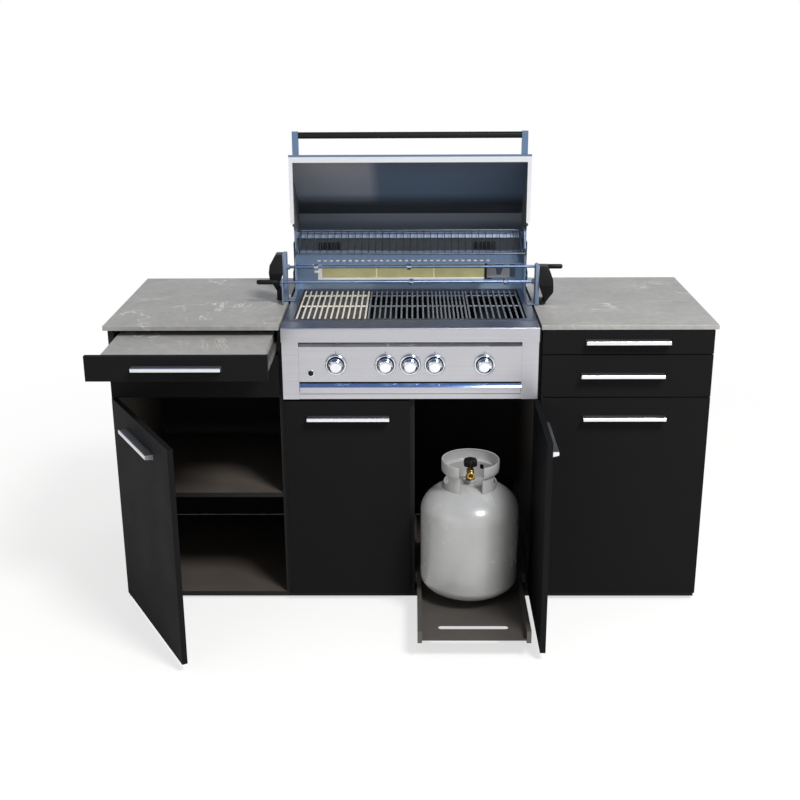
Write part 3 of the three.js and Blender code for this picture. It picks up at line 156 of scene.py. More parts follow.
floor = bpy.data.objects.new("floor", sheet)
floor.data.materials.append(paper)
scene.collection.objects.link(floor)

# Cabinet panels: sides, partitions, bases, shelf and back of dark weatherproof board, cut to
# size with crisp, barely eased edges. Their faces are matt, with a faint cloud and a pressed grain,
# and their front edges carry a black edge band.


def dress(material, width, *names):
    for name in names:
        nodes[name].material_slots[0].material = material
        if width:
            ease = nodes[name].modifiers.new("eased_edges", "BEVEL")
            ease.width = width / 1000
            ease.segments = 2
            ease.limit_method = "ANGLE"
            ease.angle_limit = math.radians(40)
            ease.harden_normals = True


def board(name, dark, light, edge, shine, gloss):
    material, tree = new_material(name)
    place = add(tree, "ShaderNodeTexCoord").outputs["Object"]
    cloudy = add(tree, "ShaderNodeTexNoise", {"Vector": place, "Scale": 7.0, "Detail": 4.0})
    grain = add(tree, "ShaderNodeTexNoise", {"Vector": place, "Scale": 1400.0, "Detail": 2.0})
    patch = add(tree, "ShaderNodeMapRange", {"Value": cloudy, "From Min": 0.3, "From Max": 0.7})
    face = add(tree, "ShaderNodeMix", {0: patch, 6: dark, 7: light}, data_type="RGBA")
    turned = add(tree, "ShaderNodeSeparateXYZ", {"Vector": add(tree, "ShaderNodeTexCoord").outputs["Normal"]})
    # Every face that looks to the front takes the edge colour: the front edges, but also whole faces such as
    # the back sheet's.
    faces_front = add(tree, "ShaderNodeMapRange", {"Value": turned.outputs["Y"], "From Min": -0.6,
                                                  "From Max": -0.7})
    colour = add(tree, "ShaderNodeMix", {0: faces_front, 6: face.outputs[2], 7: edge}, data_type="RGBA")
    rough = add(tree, "ShaderNodeMapRange", {"Value": cloudy, "From Min": 0.3, "From Max": 0.7,
                                             "To Min": shine - 0.05, "To Max": shine + 0.05})
    bump = add(tree, "ShaderNodeBump", {"Height": grain, "Strength": 0.35, "Distance": 0.00005})
    shader = add(tree, "ShaderNodeBsdfPrincipled", {"Base Color": colour.outputs[2], "Roughness": rough,
                                                    "Specular IOR Level": gloss, "Normal": bump})
    add(tree, "ShaderNodeOutputMaterial", {"Surface": shader})
    return material


inner_board = board("dark_compact_board_inside", "#4a443f", "#524c47", "#1e1e1e", 0.62, 0.15)
dress(inner_board, 0.6, "side_left", "side_right", "partition_left", "partition_right", "divider",
      "base_left", "base_bay", "base_right", "back_sheet", "shelf_left")

# Stone slabs and the pull-out board: honed grey stone, 13 mm thick, with soft mottling, a fine
# grit that catches the light and a few thin pale veins that wander across the run.
stone, tree = new_material("honed_grey_stone")
place = add(tree, "ShaderNodeTexCoord").outputs["Object"]
cloud = add(tree, "ShaderNodeTexNoise", {"Vector": place, "Scale": 6.0, "Detail": 6.0, "Roughness": 0.62,
                                         "Distortion": 0.4})
mottle = add(tree, "ShaderNodeTexNoise", {"Vector": place, "Scale": 45.0, "Detail": 5.0, "Roughness": 0.6})
grit = add(tree, "ShaderNodeTexNoise", {"Vector": place, "Scale": 700.0, "Detail": 2.0})
wander = add(tree, "ShaderNodeTexNoise", {"Vector": place, "Scale": 2.6, "Detail": 5.0, "Roughness": 0.55,
                                          "Distortion": 1.3})
patches = add(tree, "ShaderNodeTexNoise", {"Vector": place, "Scale": 5.5, "Detail": 3.0})
cloud_amount = add(tree, "ShaderNodeMapRange", {"Value": cloud, "From Min": 0.3, "From Max": 0.7})
body = add(tree, "ShaderNodeMix", {0: cloud_amount, 6: "#858480", 7: "#999794"}, data_type="RGBA")
fleck_amount = add(tree, "ShaderNodeMapRange", {"Value": mottle, "From Min": 0.35, "From Max": 0.7})
fleck = add(tree, "ShaderNodeMix", {0: fleck_amount, 6: "#7e7d79", 7: "#a2a19e"}, data_type="RGBA")
soft = add(tree, "ShaderNodeMix", {0: 0.35, 6: body.outputs[2], 7: fleck.outputs[2]}, data_type="RGBA")
centred = add(tree, "ShaderNodeMath", {0: wander, 1: 0.5}, operation="SUBTRACT")
ridge = add(tree, "ShaderNodeMath", {0: centred}, operation="ABSOLUTE")
line = add(tree, "ShaderNodeMapRange", {"Value": ridge, "From Min": 0.0, "From Max": 0.007, "To Min": 1.0,
                                        "To Max": 0.0})
where = add(tree, "ShaderNodeMapRange", {"Value": patches, "From Min": 0.44, "From Max": 0.58})
vein = add(tree, "ShaderNodeMath", {0: line, 1: where}, operation="MULTIPLY")
veined = add(tree, "ShaderNodeMix", {0: vein, 6: soft.outputs[2], 7: "#bdbcb8"}, data_type="RGBA")
rough = add(tree, "ShaderNodeMapRange", {"Value": mottle, "To Min": 0.42, "To Max": 0.56})
bump = add(tree, "ShaderNodeBump", {"Height": grit, "Strength": 0.3, "Distance": 0.00006})
shader = add(tree, "ShaderNodeBsdfPrincipled", {"Base Color": veined.outputs[2], "Roughness": rough,
                                                "Normal": bump})
add(tree, "ShaderNodeOutputMaterial", {"Surface": shader})
dress(stone, 1.0, "slab_left", "slab_right", "pullout_board")

# Fronts: doors and drawer fronts of black matt board, 16 mm thick, sawn to size with sharp edges.
# They hang on hinges or are screwed to the boxes behind them.
front_board = board("black_compact_board_front", "#141415", "#18181a", "#161617", 0.6, 0.04)
dress(front_board, 0.6, "pullout_front", "left_drawer_front", "right_drawer_top_front",
      "right_drawer_low_front", "left_door", "right_door", "bay_door_left", "bay_door_right")

# Lip pulls: extruded aluminium channels, one across each front, near the top of the doors. The
# satin anodised skin is pale and soft, with the lines of the die along it.


# Real brush and die lines are about 0.1 mm apart. They are drawn about 1 mm apart, so that they show.
def brush_lines(tree, place, along=(2, 900, 900)):
    stretched = add(tree, "ShaderNodeMapping", {"Vector": place, "Scale": along})
    return add(tree, "ShaderNodeTexNoise", {"Vector": stretched, "Scale": 1.0, "Detail": 2.0})


def metal(name, dark, light, low, high, along=(2, 900, 900), dent=0.02):
    material, tree = new_material(name)
    place = add(tree, "ShaderNodeTexCoord").outputs["Object"]
    lines = brush_lines(tree, place, along)
    smear = add(tree, "ShaderNodeTexNoise", {"Vector": place, "Scale": 9.0, "Detail": 3.0})
    streak = add(tree, "ShaderNodeMapRange", {"Value": lines, "From Min": 0.3, "From Max": 0.7})
    colour = add(tree, "ShaderNodeMix", {0: streak, 6: dark, 7: light}, data_type="RGBA")
    rough = add(tree, "ShaderNodeMapRange", {"Value": smear, "From Min": 0.3, "From Max": 0.7, "To Min": low,
                                             "To Max": high})
    bump = add(tree, "ShaderNodeBump", {"Height": lines, "Strength": 0.4, "Distance": dent / 1000})
    shader = add(tree, "ShaderNodeBsdfPrincipled", {"Base Color": colour.outputs[2], "Roughness": rough,
                                                    "Metallic": 1.0, "Normal": bump})
    add(tree, "ShaderNodeOutputMaterial", {"Surface": shader})
    return material


anodised = metal("satin_anodised_aluminium", "#d9d9db", "#e6e6e8", 0.32, 0.4)
dress(anodised, 0.8, "pullout_pull", "left_drawer_pull", "right_drawer_top_pull", "right_drawer_low_pull",
      "left_door_pull", "right_door_pull", "bay_door_left_pull", "bay_door_right_pull")

# Drawer boxes, pull-out frame and gas tray: folded steel sheet under a grey-brown baked coat
# with a faint orange-peel skin.


def coated(name, fine, broad, dark, light, low, high, strength, dent, finish):
    material, tree = new_material(name)
    place = add(tree, "ShaderNodeTexCoord").outputs["Object"]
    peel = add(tree, "ShaderNodeTexNoise", {"Vector": place, "Scale": fine, "Detail": 2.0})
    cloudy = add(tree, "ShaderNodeTexNoise", {"Vector": place, "Scale": broad, "Detail": 3.0})
    patch = add(tree, "ShaderNodeMapRange", {"Value": cloudy, "From Min": 0.3, "From Max": 0.7})
    colour = add(tree, "ShaderNodeMix", {0: patch, 6: dark, 7: light}, data_type="RGBA")
    rough = add(tree, "ShaderNodeMapRange", {"Value": cloudy, "To Min": low, "To Max": high})
    bump = add(tree, "ShaderNodeBump", {"Height": peel, "Strength": strength, "Distance": dent / 1000})
    shader = add(tree, "ShaderNodeBsdfPrincipled", {"Base Color": colour.outputs[2], "Roughness": rough,
                                                    "Normal": bump, **finish})
    add(tree, "ShaderNodeOutputMaterial", {"Surface": shader})
    return material


coat = coated("grey_powder_coat", 450, 8, "#423e3b", "#4b4743", 0.36, 0.5, 0.3, 0.05, {})
dress(coat, 0.5, "left_drawer_box", "right_drawer_top_box", "right_drawer_low_box", "pullout_frame",
      "gas_tray")

# Gas bottle: pressed and welded steel shell on a foot ring, with a stepped collar that is open
# at the front and at its hand holes, all under one coat of off-white gloss enamel.


def built(name, shape, material, body, crease=35):
    bmesh.ops.recalc_face_normals(shape, faces=shape.faces)
    for face in shape.faces:
        face.smooth = True
    for edge in shape.edges:
        edge.smooth = edge.calc_face_angle(0) < math.radians(crease)
    mesh = bpy.data.meshes.new(name)
    shape.to_mesh(mesh)
    shape.free()
    piece = bpy.data.objects.new(name, mesh)
    mesh.materials.append(material)
    scene.collection.objects.link(piece)
    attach(piece, body)
    return piece


def lathe(shape, profile, place, steps=64):
    before = set(shape.verts)
    chain = [shape.verts.new((radius / 1000, 0, height / 1000)) for radius, height in profile]
    edges = [shape.edges.new(pair) for pair in zip(chain, chain[1:])]
    bmesh.ops.spin(shape, geom=chain + edges, axis=(0, 0, 1), cent=(0, 0, 0), angle=math.tau, steps=steps,
                   use_merge=True)
    bmesh.ops.remove_doubles(shape, verts=[v for v in shape.verts if v not in before], dist=1e-6)
    bmesh.ops.transform(shape, matrix=place, verts=[v for v in shape.verts if v not in before])


# The enamel is glossy but not flat: a slight orange peel breaks its reflections.
enamel = coated("white_gloss_enamel", 220, 10, "#9a9a99", "#a4a4a4", 0.2, 0.32, 0.25, 0.05,
                {"Coat Weight": 0.3})
bottle_x, bottle_y, bottle_radius = 179, -53, 148
dome_low, dome_high = 126.3, 340.3
bottle_place = Matrix.Translation(at(bottle_x, bottle_y, 0))
shape = bmesh.new()
turns = [i * math.pi / 32 for i in range(17)]
profile = [(bottle_radius * math.sin(a), dome_low - 62 * math.cos(a)) for a in turns]
profile += [(bottle_radius, 200), (bottle_radius, 270), (bottle_radius, dome_high)]
turns = [i * math.radians(82.5) / 18 for i in range(1, 19)]
profile += [(bottle_radius * math.cos(a), dome_high + 88 * math.sin(a)) for a in turns]
profile += [(20.0, 435.3), (19.0, 436.3), (0, 436.3)]
lathe(shape, profile, bottle_place, 96)
foot = [(57, 80), (57, 64), (58, 62.6), (59.5, 62.4), (60.6, 63.4), (60.6, 66), (60, 67.5), (60, 80),
        (57, 80)]
lathe(shape, foot, bottle_place, 96)
body = built("gas_bottle_shell", shape, enamel, "gas_tray")
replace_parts(body, "gas_bottle")
shape = bmesh.new()
ring_steps, collar_radius, collar_wall, front_gap = 144, 79, 3, 34
heights = [404, 418, 430.3, 435, 440, 451, 456, 460.3, 462.3, 465.3, 468, 480, 492, 498, 500.3]
radii = [79, 79, 79, 79, 79, 79, 79, 79, 79, 84.5, 86.4, 87, 87, 86.6, 85.4]
bmesh.ops.create_grid(shape, x_segments=ring_steps, y_segments=len(heights) - 1, size=1)
gone = []
for face in shape.faces:
    spot = face.calc_center_median()
    turn = math.tau * (spot.x + 1) / 2
    low = int((spot.y + 1) / 2 * (len(heights) - 1))
    side, front = math.sin(turn) * collar_radius, -math.cos(turn) * collar_radius
    open_front = abs(side) < front_gap and front < 0
    hand_hole = 2 <= low <= 6 and abs(front) < (36, 40, 42, 40, 36)[low - 2]
    drain = 33 < side < 45 and front > 0 and low in (4, 5)
    if open_front or hand_hole or drain:
        gone.append(face)
for vert in shape.verts:
    turn = math.tau * (vert.co.x + 1) / 2
    row = round((vert.co.y + 1) / 2 * (len(heights) - 1))
    radius = radii[row] / 1000
    vert.co = (radius * math.sin(turn), -radius * math.cos(turn), heights[row] / 1000)
bmesh.ops.delete(shape, geom=gone, context="FACES")
bmesh.ops.remove_doubles(shape, verts=shape.verts, dist=1e-6)
bmesh.ops.solidify(shape, geom=shape.faces, thickness=collar_wall / 1000)
bmesh.ops.transform(shape, matrix=bottle_place, verts=shape.verts)
built("gas_bottle_collar", shape, enamel, "gas_tray")

# Gas valve: hexagon, turned body with gland nut and a side outlet with its thread, bore and
# bright sealing lip, all brass, under a black six-lobed handwheel.


def rod(shape, start, end, radius, sides=16, end_radius=None):
    run = end - start
    place = Matrix.Translation((start + end) / 2) @ run.to_track_quat("Z", "Y").to_matrix().to_4x4()
    end_radius = radius if end_radius is None else end_radius
    bmesh.ops.create_cone(shape, cap_ends=True, segments=sides, radius1=radius / 1000,
                          radius2=end_radius / 1000, depth=run.length, matrix=place)


# Turned brass: dull yellow, with the fine even finish of the tool.
brass = metal("turned_brass", "#a98a4d", "#b99a5c", 0.26, 0.36, (300, 300, 300))
shape = bmesh.new()
nut_low, nut_high, nut_top = [at(bottle_x, bottle_y, height) for height in (436.6, 447, 448.6)]
rod(shape, nut_low, nut_high, 15, 6)
rod(shape, nut_high, nut_top, 14.2, 6, 12)
stem = [(0, 447), (9.5, 447), (9.5, 452), (11, 453.5), (11, 467), (9.6, 468.4), (8.4, 469), (8.4, 472),
        (7.4, 473), (7.4, 477.6), (0, 477.6)]
lathe(shape, stem, bottle_place, 40)
outlet_place = Matrix.Translation(at(bottle_x, bottle_y, 460.9)) @ Matrix.Rotation(math.radians(90), 4, "X")
outlet = [(0, 8), (8.5, 8), (8.5, 18), (11, 19), (11, 22.5), (10.2, 23)]
for i in range(5):
    outlet += [(9.7, 24 + 2.5 * i), (10.4, 25.2 + 2.5 * i)]
outlet += [(9.8, 36.4), (11, 37), (11.2, 39.2), (10.2, 40), (7.4, 40), (6.4, 39), (6.4, 20), (0, 20)]
lathe(shape, outlet, outlet_place, 40)
relief = [(0, -6), (5.5, -6), (5.5, -15), (4.4, -16), (0, -16)]
lathe(shape, relief, outlet_place, 24)
valve = built("gas_valve_body", shape, brass, "gas_tray")
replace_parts(valve, "gas_valve")

# Moulded nylon: near black and half matt, with the fine grain of the mould.
nylon = coated("black_glass_filled_nylon", 900, 12, "#161617", "#1b1b1c", 0.34, 0.48, 0.35, 0.06,
               {"Specular IOR Level": 0.12})
shape = bmesh.new()
wheel = [(0, 477.9), (17, 477.9), (20.5, 479.5), (22, 482), (22, 492), (21, 496), (18, 499.6), (13, 501.4),
         (9, 501.9), (7, 500.4), (0, 500.4)]
lathe(shape, wheel, bottle_place, 72)
centre = at(bottle_x, bottle_y, 0)
lobes, lobe_depth, hub_radius = 6, 0.07, 0.012
for vert in shape.verts:
    out = Vector((vert.co.x - centre.x, vert.co.y - centre.y))
    if out.length > hub_radius:
        dip = 1 - lobe_depth * (1 + math.cos(lobes * math.atan2(out.y, out.x)))
        vert.co.x = centre.x + out.x * dip
        vert.co.y = centre.y + out.y * dip
wheel_piece = built("gas_handwheel_grip", shape, nylon, "gas_handwheel", 40)
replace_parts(wheel_piece, "gas_handwheel")

# Grill front: pressed fascia, control panel and drip tray of stainless steel, brushed from side to
# side. A folded ledge runs below the panel, its blue a painted sky reflection, and thin dark strips
# of painted shade mark the seams that part the two stiles from the panel and from the top rail.
front_steel = metal("brushed_stainless_front", "#aeaeb4", "#babac0", 0.3, 0.36)
dress(front_steel, 0.7, "grill_fascia", "control_panel", "drip_tray")


def slab(shape, low, high, ease, turn=Matrix()):
    size = high - low
    place = turn @ Matrix.Translation((low + high) / 2) @ Matrix.Diagonal((*size, 1))
    made = bmesh.ops.create_cube(shape, size=1, matrix=place)["verts"]
    rims = {edge for vert in made for edge in vert.link_edges}
    bmesh.ops.bevel(shape, geom=list(rims), offset=ease / 1000, offset_type="OFFSET", affect="EDGES",
                    segments=3, profile=0.5, material=-1, clamp_overlap=True)


# The ledge is smooth and tilted up, so it mirrors the sky; the blue of its base colour is a painted sky
# reflection on top of that.
ledge_sky_paint, tree = new_material("ledge_stainless_painted_sky_reflection")
place = add(tree, "ShaderNodeTexCoord").outputs["Object"]
lines = brush_lines(tree, place, (2, 300, 300))
tone = add(tree, "ShaderNodeMix", {0: lines, 6: "#6883b2", 7: "#7f99c6"}, data_type="RGBA")
shader = add(tree, "ShaderNodeBsdfPrincipled", {"Base Color": tone.outputs[2], "Metallic": 0.75,
                                                "Roughness": 0.16})
add(tree, "ShaderNodeOutputMaterial", {"Surface": shader})
shape = bmesh.new()
slot_half, ledge_thick = 0.327, 0.0005
for y, z, tilt, wide in ((-13.75, 717, 47, 13), (-11.15, 710.75, -10.3, 14)):
    turn = Matrix.Translation(at(0, y, z)) @ Matrix.Rotation(math.radians(tilt), 4, "X")
    corner = Vector((slot_half, wide / 2000, ledge_thick / 2))
    slab(shape, -corner, corner, 0.1, turn)
built("fascia_ledge_sheet", shape, ledge_sky_paint, "island")
# The seams are painted shade: thin dark strips without shine, where the top rail and the stiles throw a
# shadow on the sheet beside them.
seam, tree = new_material("shadowed_sheet_seam")
place = add(tree, "ShaderNodeTexCoord").outputs["Object"]
shade_mottle = add(tree, "ShaderNodeTexNoise", {"Vector": place, "Scale": 80.0, "Detail": 3.0})
tone = add(tree, "ShaderNodeMix", {0: shade_mottle, 6: "#38383b", 7: "#48484c"}, data_type="RGBA")
shader = add(tree, "ShaderNodeBsdfPrincipled", {"Base Color": tone.outputs[2], "Roughness": 0.6})
add(tree, "ShaderNodeOutputMaterial", {"Surface": shader})
seam_front, seam_back = -4.3, -3.9
shape = bmesh.new()
for x0, x1, z0, z1 in ((-374, -326, 847.8, 849.8), (326, 374, 847.8, 849.8), (-328.2, -326.6, 692, 848),
                       (326.6, 328.2, 692, 848)):
    slab(shape, at(x0, seam_front, z0), at(x1, seam_back, z1), 0.1)
built("fascia_painted_seam_shade", shape, seam, "island")

# Knobs: five turned chrome knobs with a rounded shoulder, each in a polished ring with a dark
# gasket, and a black push button for the igniter in a small collar. A tick on the panel marks
# the zero of each knob but the middle one.
# Chrome plate: nearly a mirror, with a trace of unevenness from the polishing.
chrome = metal("bright_chrome", "#d3d6dc", "#dfe2e7", 0.06, 0.1, (30, 30, 30), 0.004)
panel_y, knob_z = -6, 779.5
knob_places = (-218.3, -72.5, 0, 72.5, 218.3)
forward = Matrix.Rotation(math.radians(90), 4, "X")
cap = [(0, 0.4), (23.4, 0.4), (23.4, 2.4), (22.8, 3.0), (22.8, 18), (22.4, 21), (21.2, 24), (19.2, 26.4),
       (16.6, 28), (14, 28.7), (10, 28.7), (0, 28.7)]
rim = [(25.4, 0), (25.4, 9.4), (26.2, 10.3), (27.6, 10.6), (29.4, 10.2), (30.8, 8.8), (31.6, 6.4), (32, 2),
       (32, 0)]
gasket = [(23.6, -0.2), (23.6, 6.6), (24, 7), (25.1, 7), (25.5, 6.6), (25.5, -0.2), (23.6, -0.2)]
rings, gaskets = bmesh.new(), bmesh.new()
for i, x in enumerate(knob_places, 1):
    facing = Matrix.Translation(at(x, panel_y, knob_z)) @ forward
    shape = bmesh.new()
    lathe(shape, cap, facing)
    knob = built(f"knob_{i}_cap", shape, chrome, f"knob_{i}", 40)
    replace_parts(knob, f"knob_{i}")
    lathe(rings, rim, facing)
    lathe(gaskets, gasket, facing)
    if x:
        slab(gaskets, at(x - 0.7, -6.4, 813.5), at(x + 0.7, -5.9, 819), 0.1)
built("knob_rings", rings, chrome, "island", 40)
built("knob_gaskets_and_ticks", gaskets, nylon, "island")
shape = bmesh.new()
facing = Matrix.Translation(at(-293, panel_y, 753)) @ forward
button_radius = 7.3
turns = [i * math.pi / 20 for i in range(1, 11)]
ball = [(0, -8)] + [(button_radius, height) for height in (-8, -2, 2)]
ball += [(button_radius * math.cos(a), 2 + 5 * math.sin(a)) for a in turns]
lathe(shape, ball, facing, 40)
button = built("ignition_button_cap", shape, nylon, "ignition_button", 40)
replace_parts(button, "ignition_button")
shape = bmesh.new()
lathe(shape, [(7.9, -1), (7.9, 1.2), (8.6, 1.8), (10.4, 1.4), (11, 0.4), (11, -1), (7.9, -1)], facing, 40)
built("ignition_button_collar", shape, chrome, "island", 40)

# Deck and tub: satin stainless, with a cool blue cast that is a painted sky reflection; inside the
# tub it is stained dark by heat, which the colour takes from its height.
deck, tree = new_material("deck_painted_sky_tint_and_burnt_tub")
place = add(tree, "ShaderNodeTexCoord").outputs["Object"]
parts = add(tree, "ShaderNodeSeparateXYZ", {"Vector": place})
stain = add(tree, "ShaderNodeTexNoise", {"Vector": place, "Scale": 14.0, "Detail": 5.0})
shift = add(tree, "ShaderNodeMapRange", {"Value": stain, "To Min": -0.012, "To Max": 0.012})
height = add(tree, "ShaderNodeMath", {0: parts.outputs["Z"], 1: shift}, operation="ADD")
clean = add(tree, "ShaderNodeMapRange", {"Value": height, "From Min": 0.868, "From Max": 0.885})
lines = brush_lines(tree, place)
sky_tinted_tone = add(tree, "ShaderNodeMix", {0: lines, 6: "#737886", 7: "#868b98"}, data_type="RGBA")
colour = add(tree, "ShaderNodeMix", {0: clean, 6: "#1d1c1c", 7: sky_tinted_tone.outputs[2]}, data_type="RGBA")
rough = add(tree, "ShaderNodeMapRange", {"Value": clean, "To Min": 0.6, "To Max": 0.32})
bump = add(tree, "ShaderNodeBump", {"Height": lines, "Strength": 0.4, "Distance": 0.00002})
shader = add(tree, "ShaderNodeBsdfPrincipled", {"Base Color": colour.outputs[2], "Roughness": rough,
                                                "Metallic": 1.0, "Normal": bump})
add(tree, "ShaderNodeOutputMaterial", {"Surface": shader})
dress(deck, 0, "grill_body")
# Steel that has been in the flame: dark grey, blotchy and dull.
burnt = metal("heat_stained_steel", "#3f4042", "#565654", 0.4, 0.55, (40, 40, 40))
dress(burnt, 0.4, "burner_set")

# Cooking grates: three sets of round rods on two welded cross bars. The left set, and the rippled
# heat plate that shows between its rods, are painted pale as if sunlit; the other sets are plain steel.


def spread(low, high, count):
    return [low + (high - low) * i / (count - 1) for i in range(count)]


blocks = {
    "grate_left": (spread(-341, -135.1, 13), -345, -131.1),
    "grate_middle": (spread(-125.1, 55.9, 12) + spread(70, 169.9, 9), -129.1, 173.9),
    "grate_right": (spread(179.9, 341, 10), 175.9, 345),
}
# Left rods: painted sunlight, pale and warm, without clear reflections.
sunlit_rod_paint, tree = new_material("rod_steel_painted_sunlit")
place = add(tree, "ShaderNodeTexCoord").outputs["Object"]
speckle = add(tree, "ShaderNodeTexNoise", {"Vector": place, "Scale": 500.0, "Detail": 3.0})
tone = add(tree, "ShaderNodeMix", {0: speckle, 6: "#d8d0c0", 7: "#efe9dc"}, data_type="RGBA")
bump = add(tree, "ShaderNodeBump", {"Height": speckle, "Strength": 0.3, "Distance": 0.00005})
shader = add(tree, "ShaderNodeBsdfPrincipled", {"Base Color": tone.outputs[2], "Metallic": 0.25,
                                                "Roughness": 0.45, "Normal": bump})
add(tree, "ShaderNodeOutputMaterial", {"Surface": shader})
# Rods of the other sets: plain steel, darker than the painted sunlit rods, with a line of light along each.
rod_steel, tree = new_material("grate_rod_steel")
place = add(tree, "ShaderNodeTexCoord").outputs["Object"]
worn = add(tree, "ShaderNodeTexNoise", {"Vector": place, "Scale": 60.0, "Detail": 3.0})
tone = add(tree, "ShaderNodeMix", {0: worn, 6: "#7c8088", 7: "#989ca4"}, data_type="RGBA")
rough = add(tree, "ShaderNodeMapRange", {"Value": worn, "To Min": 0.22, "To Max": 0.34})
shader = add(tree, "ShaderNodeBsdfPrincipled", {"Base Color": tone.outputs[2], "Metallic": 0.5,
                                                "Roughness": rough})
add(tree, "ShaderNodeOutputMaterial", {"Surface": shader})
rod_front, rod_back, rod_z = 81, 451, 890
cross_places, cross_z = (269.7, 407.4), 886
weld_radius = 0.0034
for name, (places, x0, x1) in blocks.items():
    shape = bmesh.new()
    for x in places:
        rod(shape, at(x, rod_front, rod_z), at(x, rod_back, rod_z), 3, 14)
    for y in cross_places:
        rod(shape, at(x0 + 1, y, cross_z), at(x1 - 1, y, cross_z), 2.9, 14)
    for x in places:
        for y in cross_places:
            weld = Matrix.Translation(at(x, y, (rod_z + cross_z) / 2))
            bmesh.ops.create_icosphere(shape, subdivisions=2, radius=weld_radius, matrix=weld)
    bar_steel = sunlit_rod_paint if name == "grate_left" else rod_steel
    grill_bars = built(f"{name}_rods", shape, bar_steel, "island", 50)
    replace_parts(grill_bars, name)
ripples, ripple_height, plate_thick = 4, 2.2, 1.2
plate_left, plate_right, plate_front, plate_back = -342, -134, 86, 447
shape = bmesh.new()
bmesh.ops.create_grid(shape, x_segments=16, y_segments=3, size=1)
for vert in shape.verts:
    along, deep = (vert.co.x + 1) / 2, (vert.co.y + 1) / 2
    ripple = ripple_height * (1 - abs(2 * ((along * ripples) % 1) - 1))
    vert.co = at(plate_left + (plate_right - plate_left) * along,
                 plate_front + (plate_back - plate_front) * deep, 875 + ripple)
bmesh.ops.solidify(shape, geom=shape.faces, thickness=plate_thick / 1000)
for y in (plate_front, plate_back):
    slab(shape, at(plate_left, y - 0.6, 874), at(plate_right, y + 0.6, 884.8), 0.3)
# Heat plate: grey sheet painted pale, as sunlit as the rods over it.
sunlit_plate_paint = metal("heat_plate_steel_painted_sunlit", "#8e8e8e", "#9c9c9c", 0.4, 0.5, (40, 40, 40))
built("heat_plate_left", shape, sunlit_plate_paint, "island")

# Rear housing: wings and back wall with two vents, a turned-over top flange and a shelf that slopes
# to the burner and has a bright lip at each slot. Its blue cast, bluer on faces that look up, is a
# painted sky reflection, and the inner wall is coloured darker from the shelf upward.
housing, tree = new_material("stainless_housing_painted_sky_tint")
coordinates = add(tree, "ShaderNodeTexCoord")
place = coordinates.outputs["Object"]
parts = add(tree, "ShaderNodeSeparateXYZ", {"Vector": place})
turned = add(tree, "ShaderNodeSeparateXYZ", {"Vector": coordinates.outputs["Normal"]})
stain = add(tree, "ShaderNodeTexNoise", {"Vector": place, "Scale": 11.0, "Detail": 5.0})
shift = add(tree, "ShaderNodeMapRange", {"Value": stain, "To Min": -0.006, "To Max": 0.006})
height = add(tree, "ShaderNodeMath", {0: parts.outputs["Z"], 1: shift}, operation="ADD")
# The inner wall is coloured darker from a given height on up.
upper_wall = add(tree, "ShaderNodeMapRange", {"Value": height, "From Min": 1.016, "From Max": 1.026})
# Faces that look up are painted a bluer grey: a reflection of the sky.
faces_up_sky_paint = add(tree, "ShaderNodeMapRange", {"Value": turned.outputs["Z"], "From Min": 0.3, "From Max": 0.5})
inside = add(tree, "ShaderNodeMapRange", {"Value": turned.outputs["Y"], "From Min": -0.3, "From Max": -0.8})
lines = brush_lines(tree, place)
# The blue in the sheet's tone is a painted sky reflection.
tone = add(tree, "ShaderNodeMix", {0: lines, 6: "#8ea5bf", 7: "#a4bbd5"}, data_type="RGBA")
darker_upper_wall = add(tree, "ShaderNodeMath", {0: upper_wall, 1: inside}, operation="MULTIPLY")
dark = add(tree, "ShaderNodeMix", {0: darker_upper_wall, 6: tone.outputs[2], 7: "#3d4245"}, data_type="RGBA")
colour = add(tree, "ShaderNodeMix", {0: faces_up_sky_paint, 6: dark.outputs[2], 7: "#7b8eaa"}, data_type="RGBA")
bump = add(tree, "ShaderNodeBump", {"Height": lines, "Strength": 0.4, "Distance": 0.00002})
shader = add(tree, "ShaderNodeBsdfPrincipled", {"Base Color": colour.outputs[2], "Metallic": 0.5,
                                                "Roughness": 0.32, "Normal": bump})
add(tree, "ShaderNodeOutputMaterial", {"Surface": shader})
dress(housing, 0, "rear_housing")
# Satin sheet: light grey and soft, painted paler than the steel itself so that these parts look sunlit, for
# the slot lips, the burner box and its notched bracket.
frame_steel, tree = new_material("satin_frame_steel_painted_sunlit")
place = add(tree, "ShaderNodeTexCoord").outputs["Object"]
smear = add(tree, "ShaderNodeTexNoise", {"Vector": place, "Scale": 30.0, "Detail": 4.0})
tone = add(tree, "ShaderNodeMix", {0: smear, 6: "#c4c4c6", 7: "#dededf"}, data_type="RGBA")
rough = add(tree, "ShaderNodeMapRange", {"Value": smear, "To Min": 0.35, "To Max": 0.5})
shader = add(tree, "ShaderNodeBsdfPrincipled", {"Base Color": tone.outputs[2], "Metallic": 0.2,
                                                "Roughness": rough})
add(tree, "ShaderNodeOutputMaterial", {"Surface": shader})
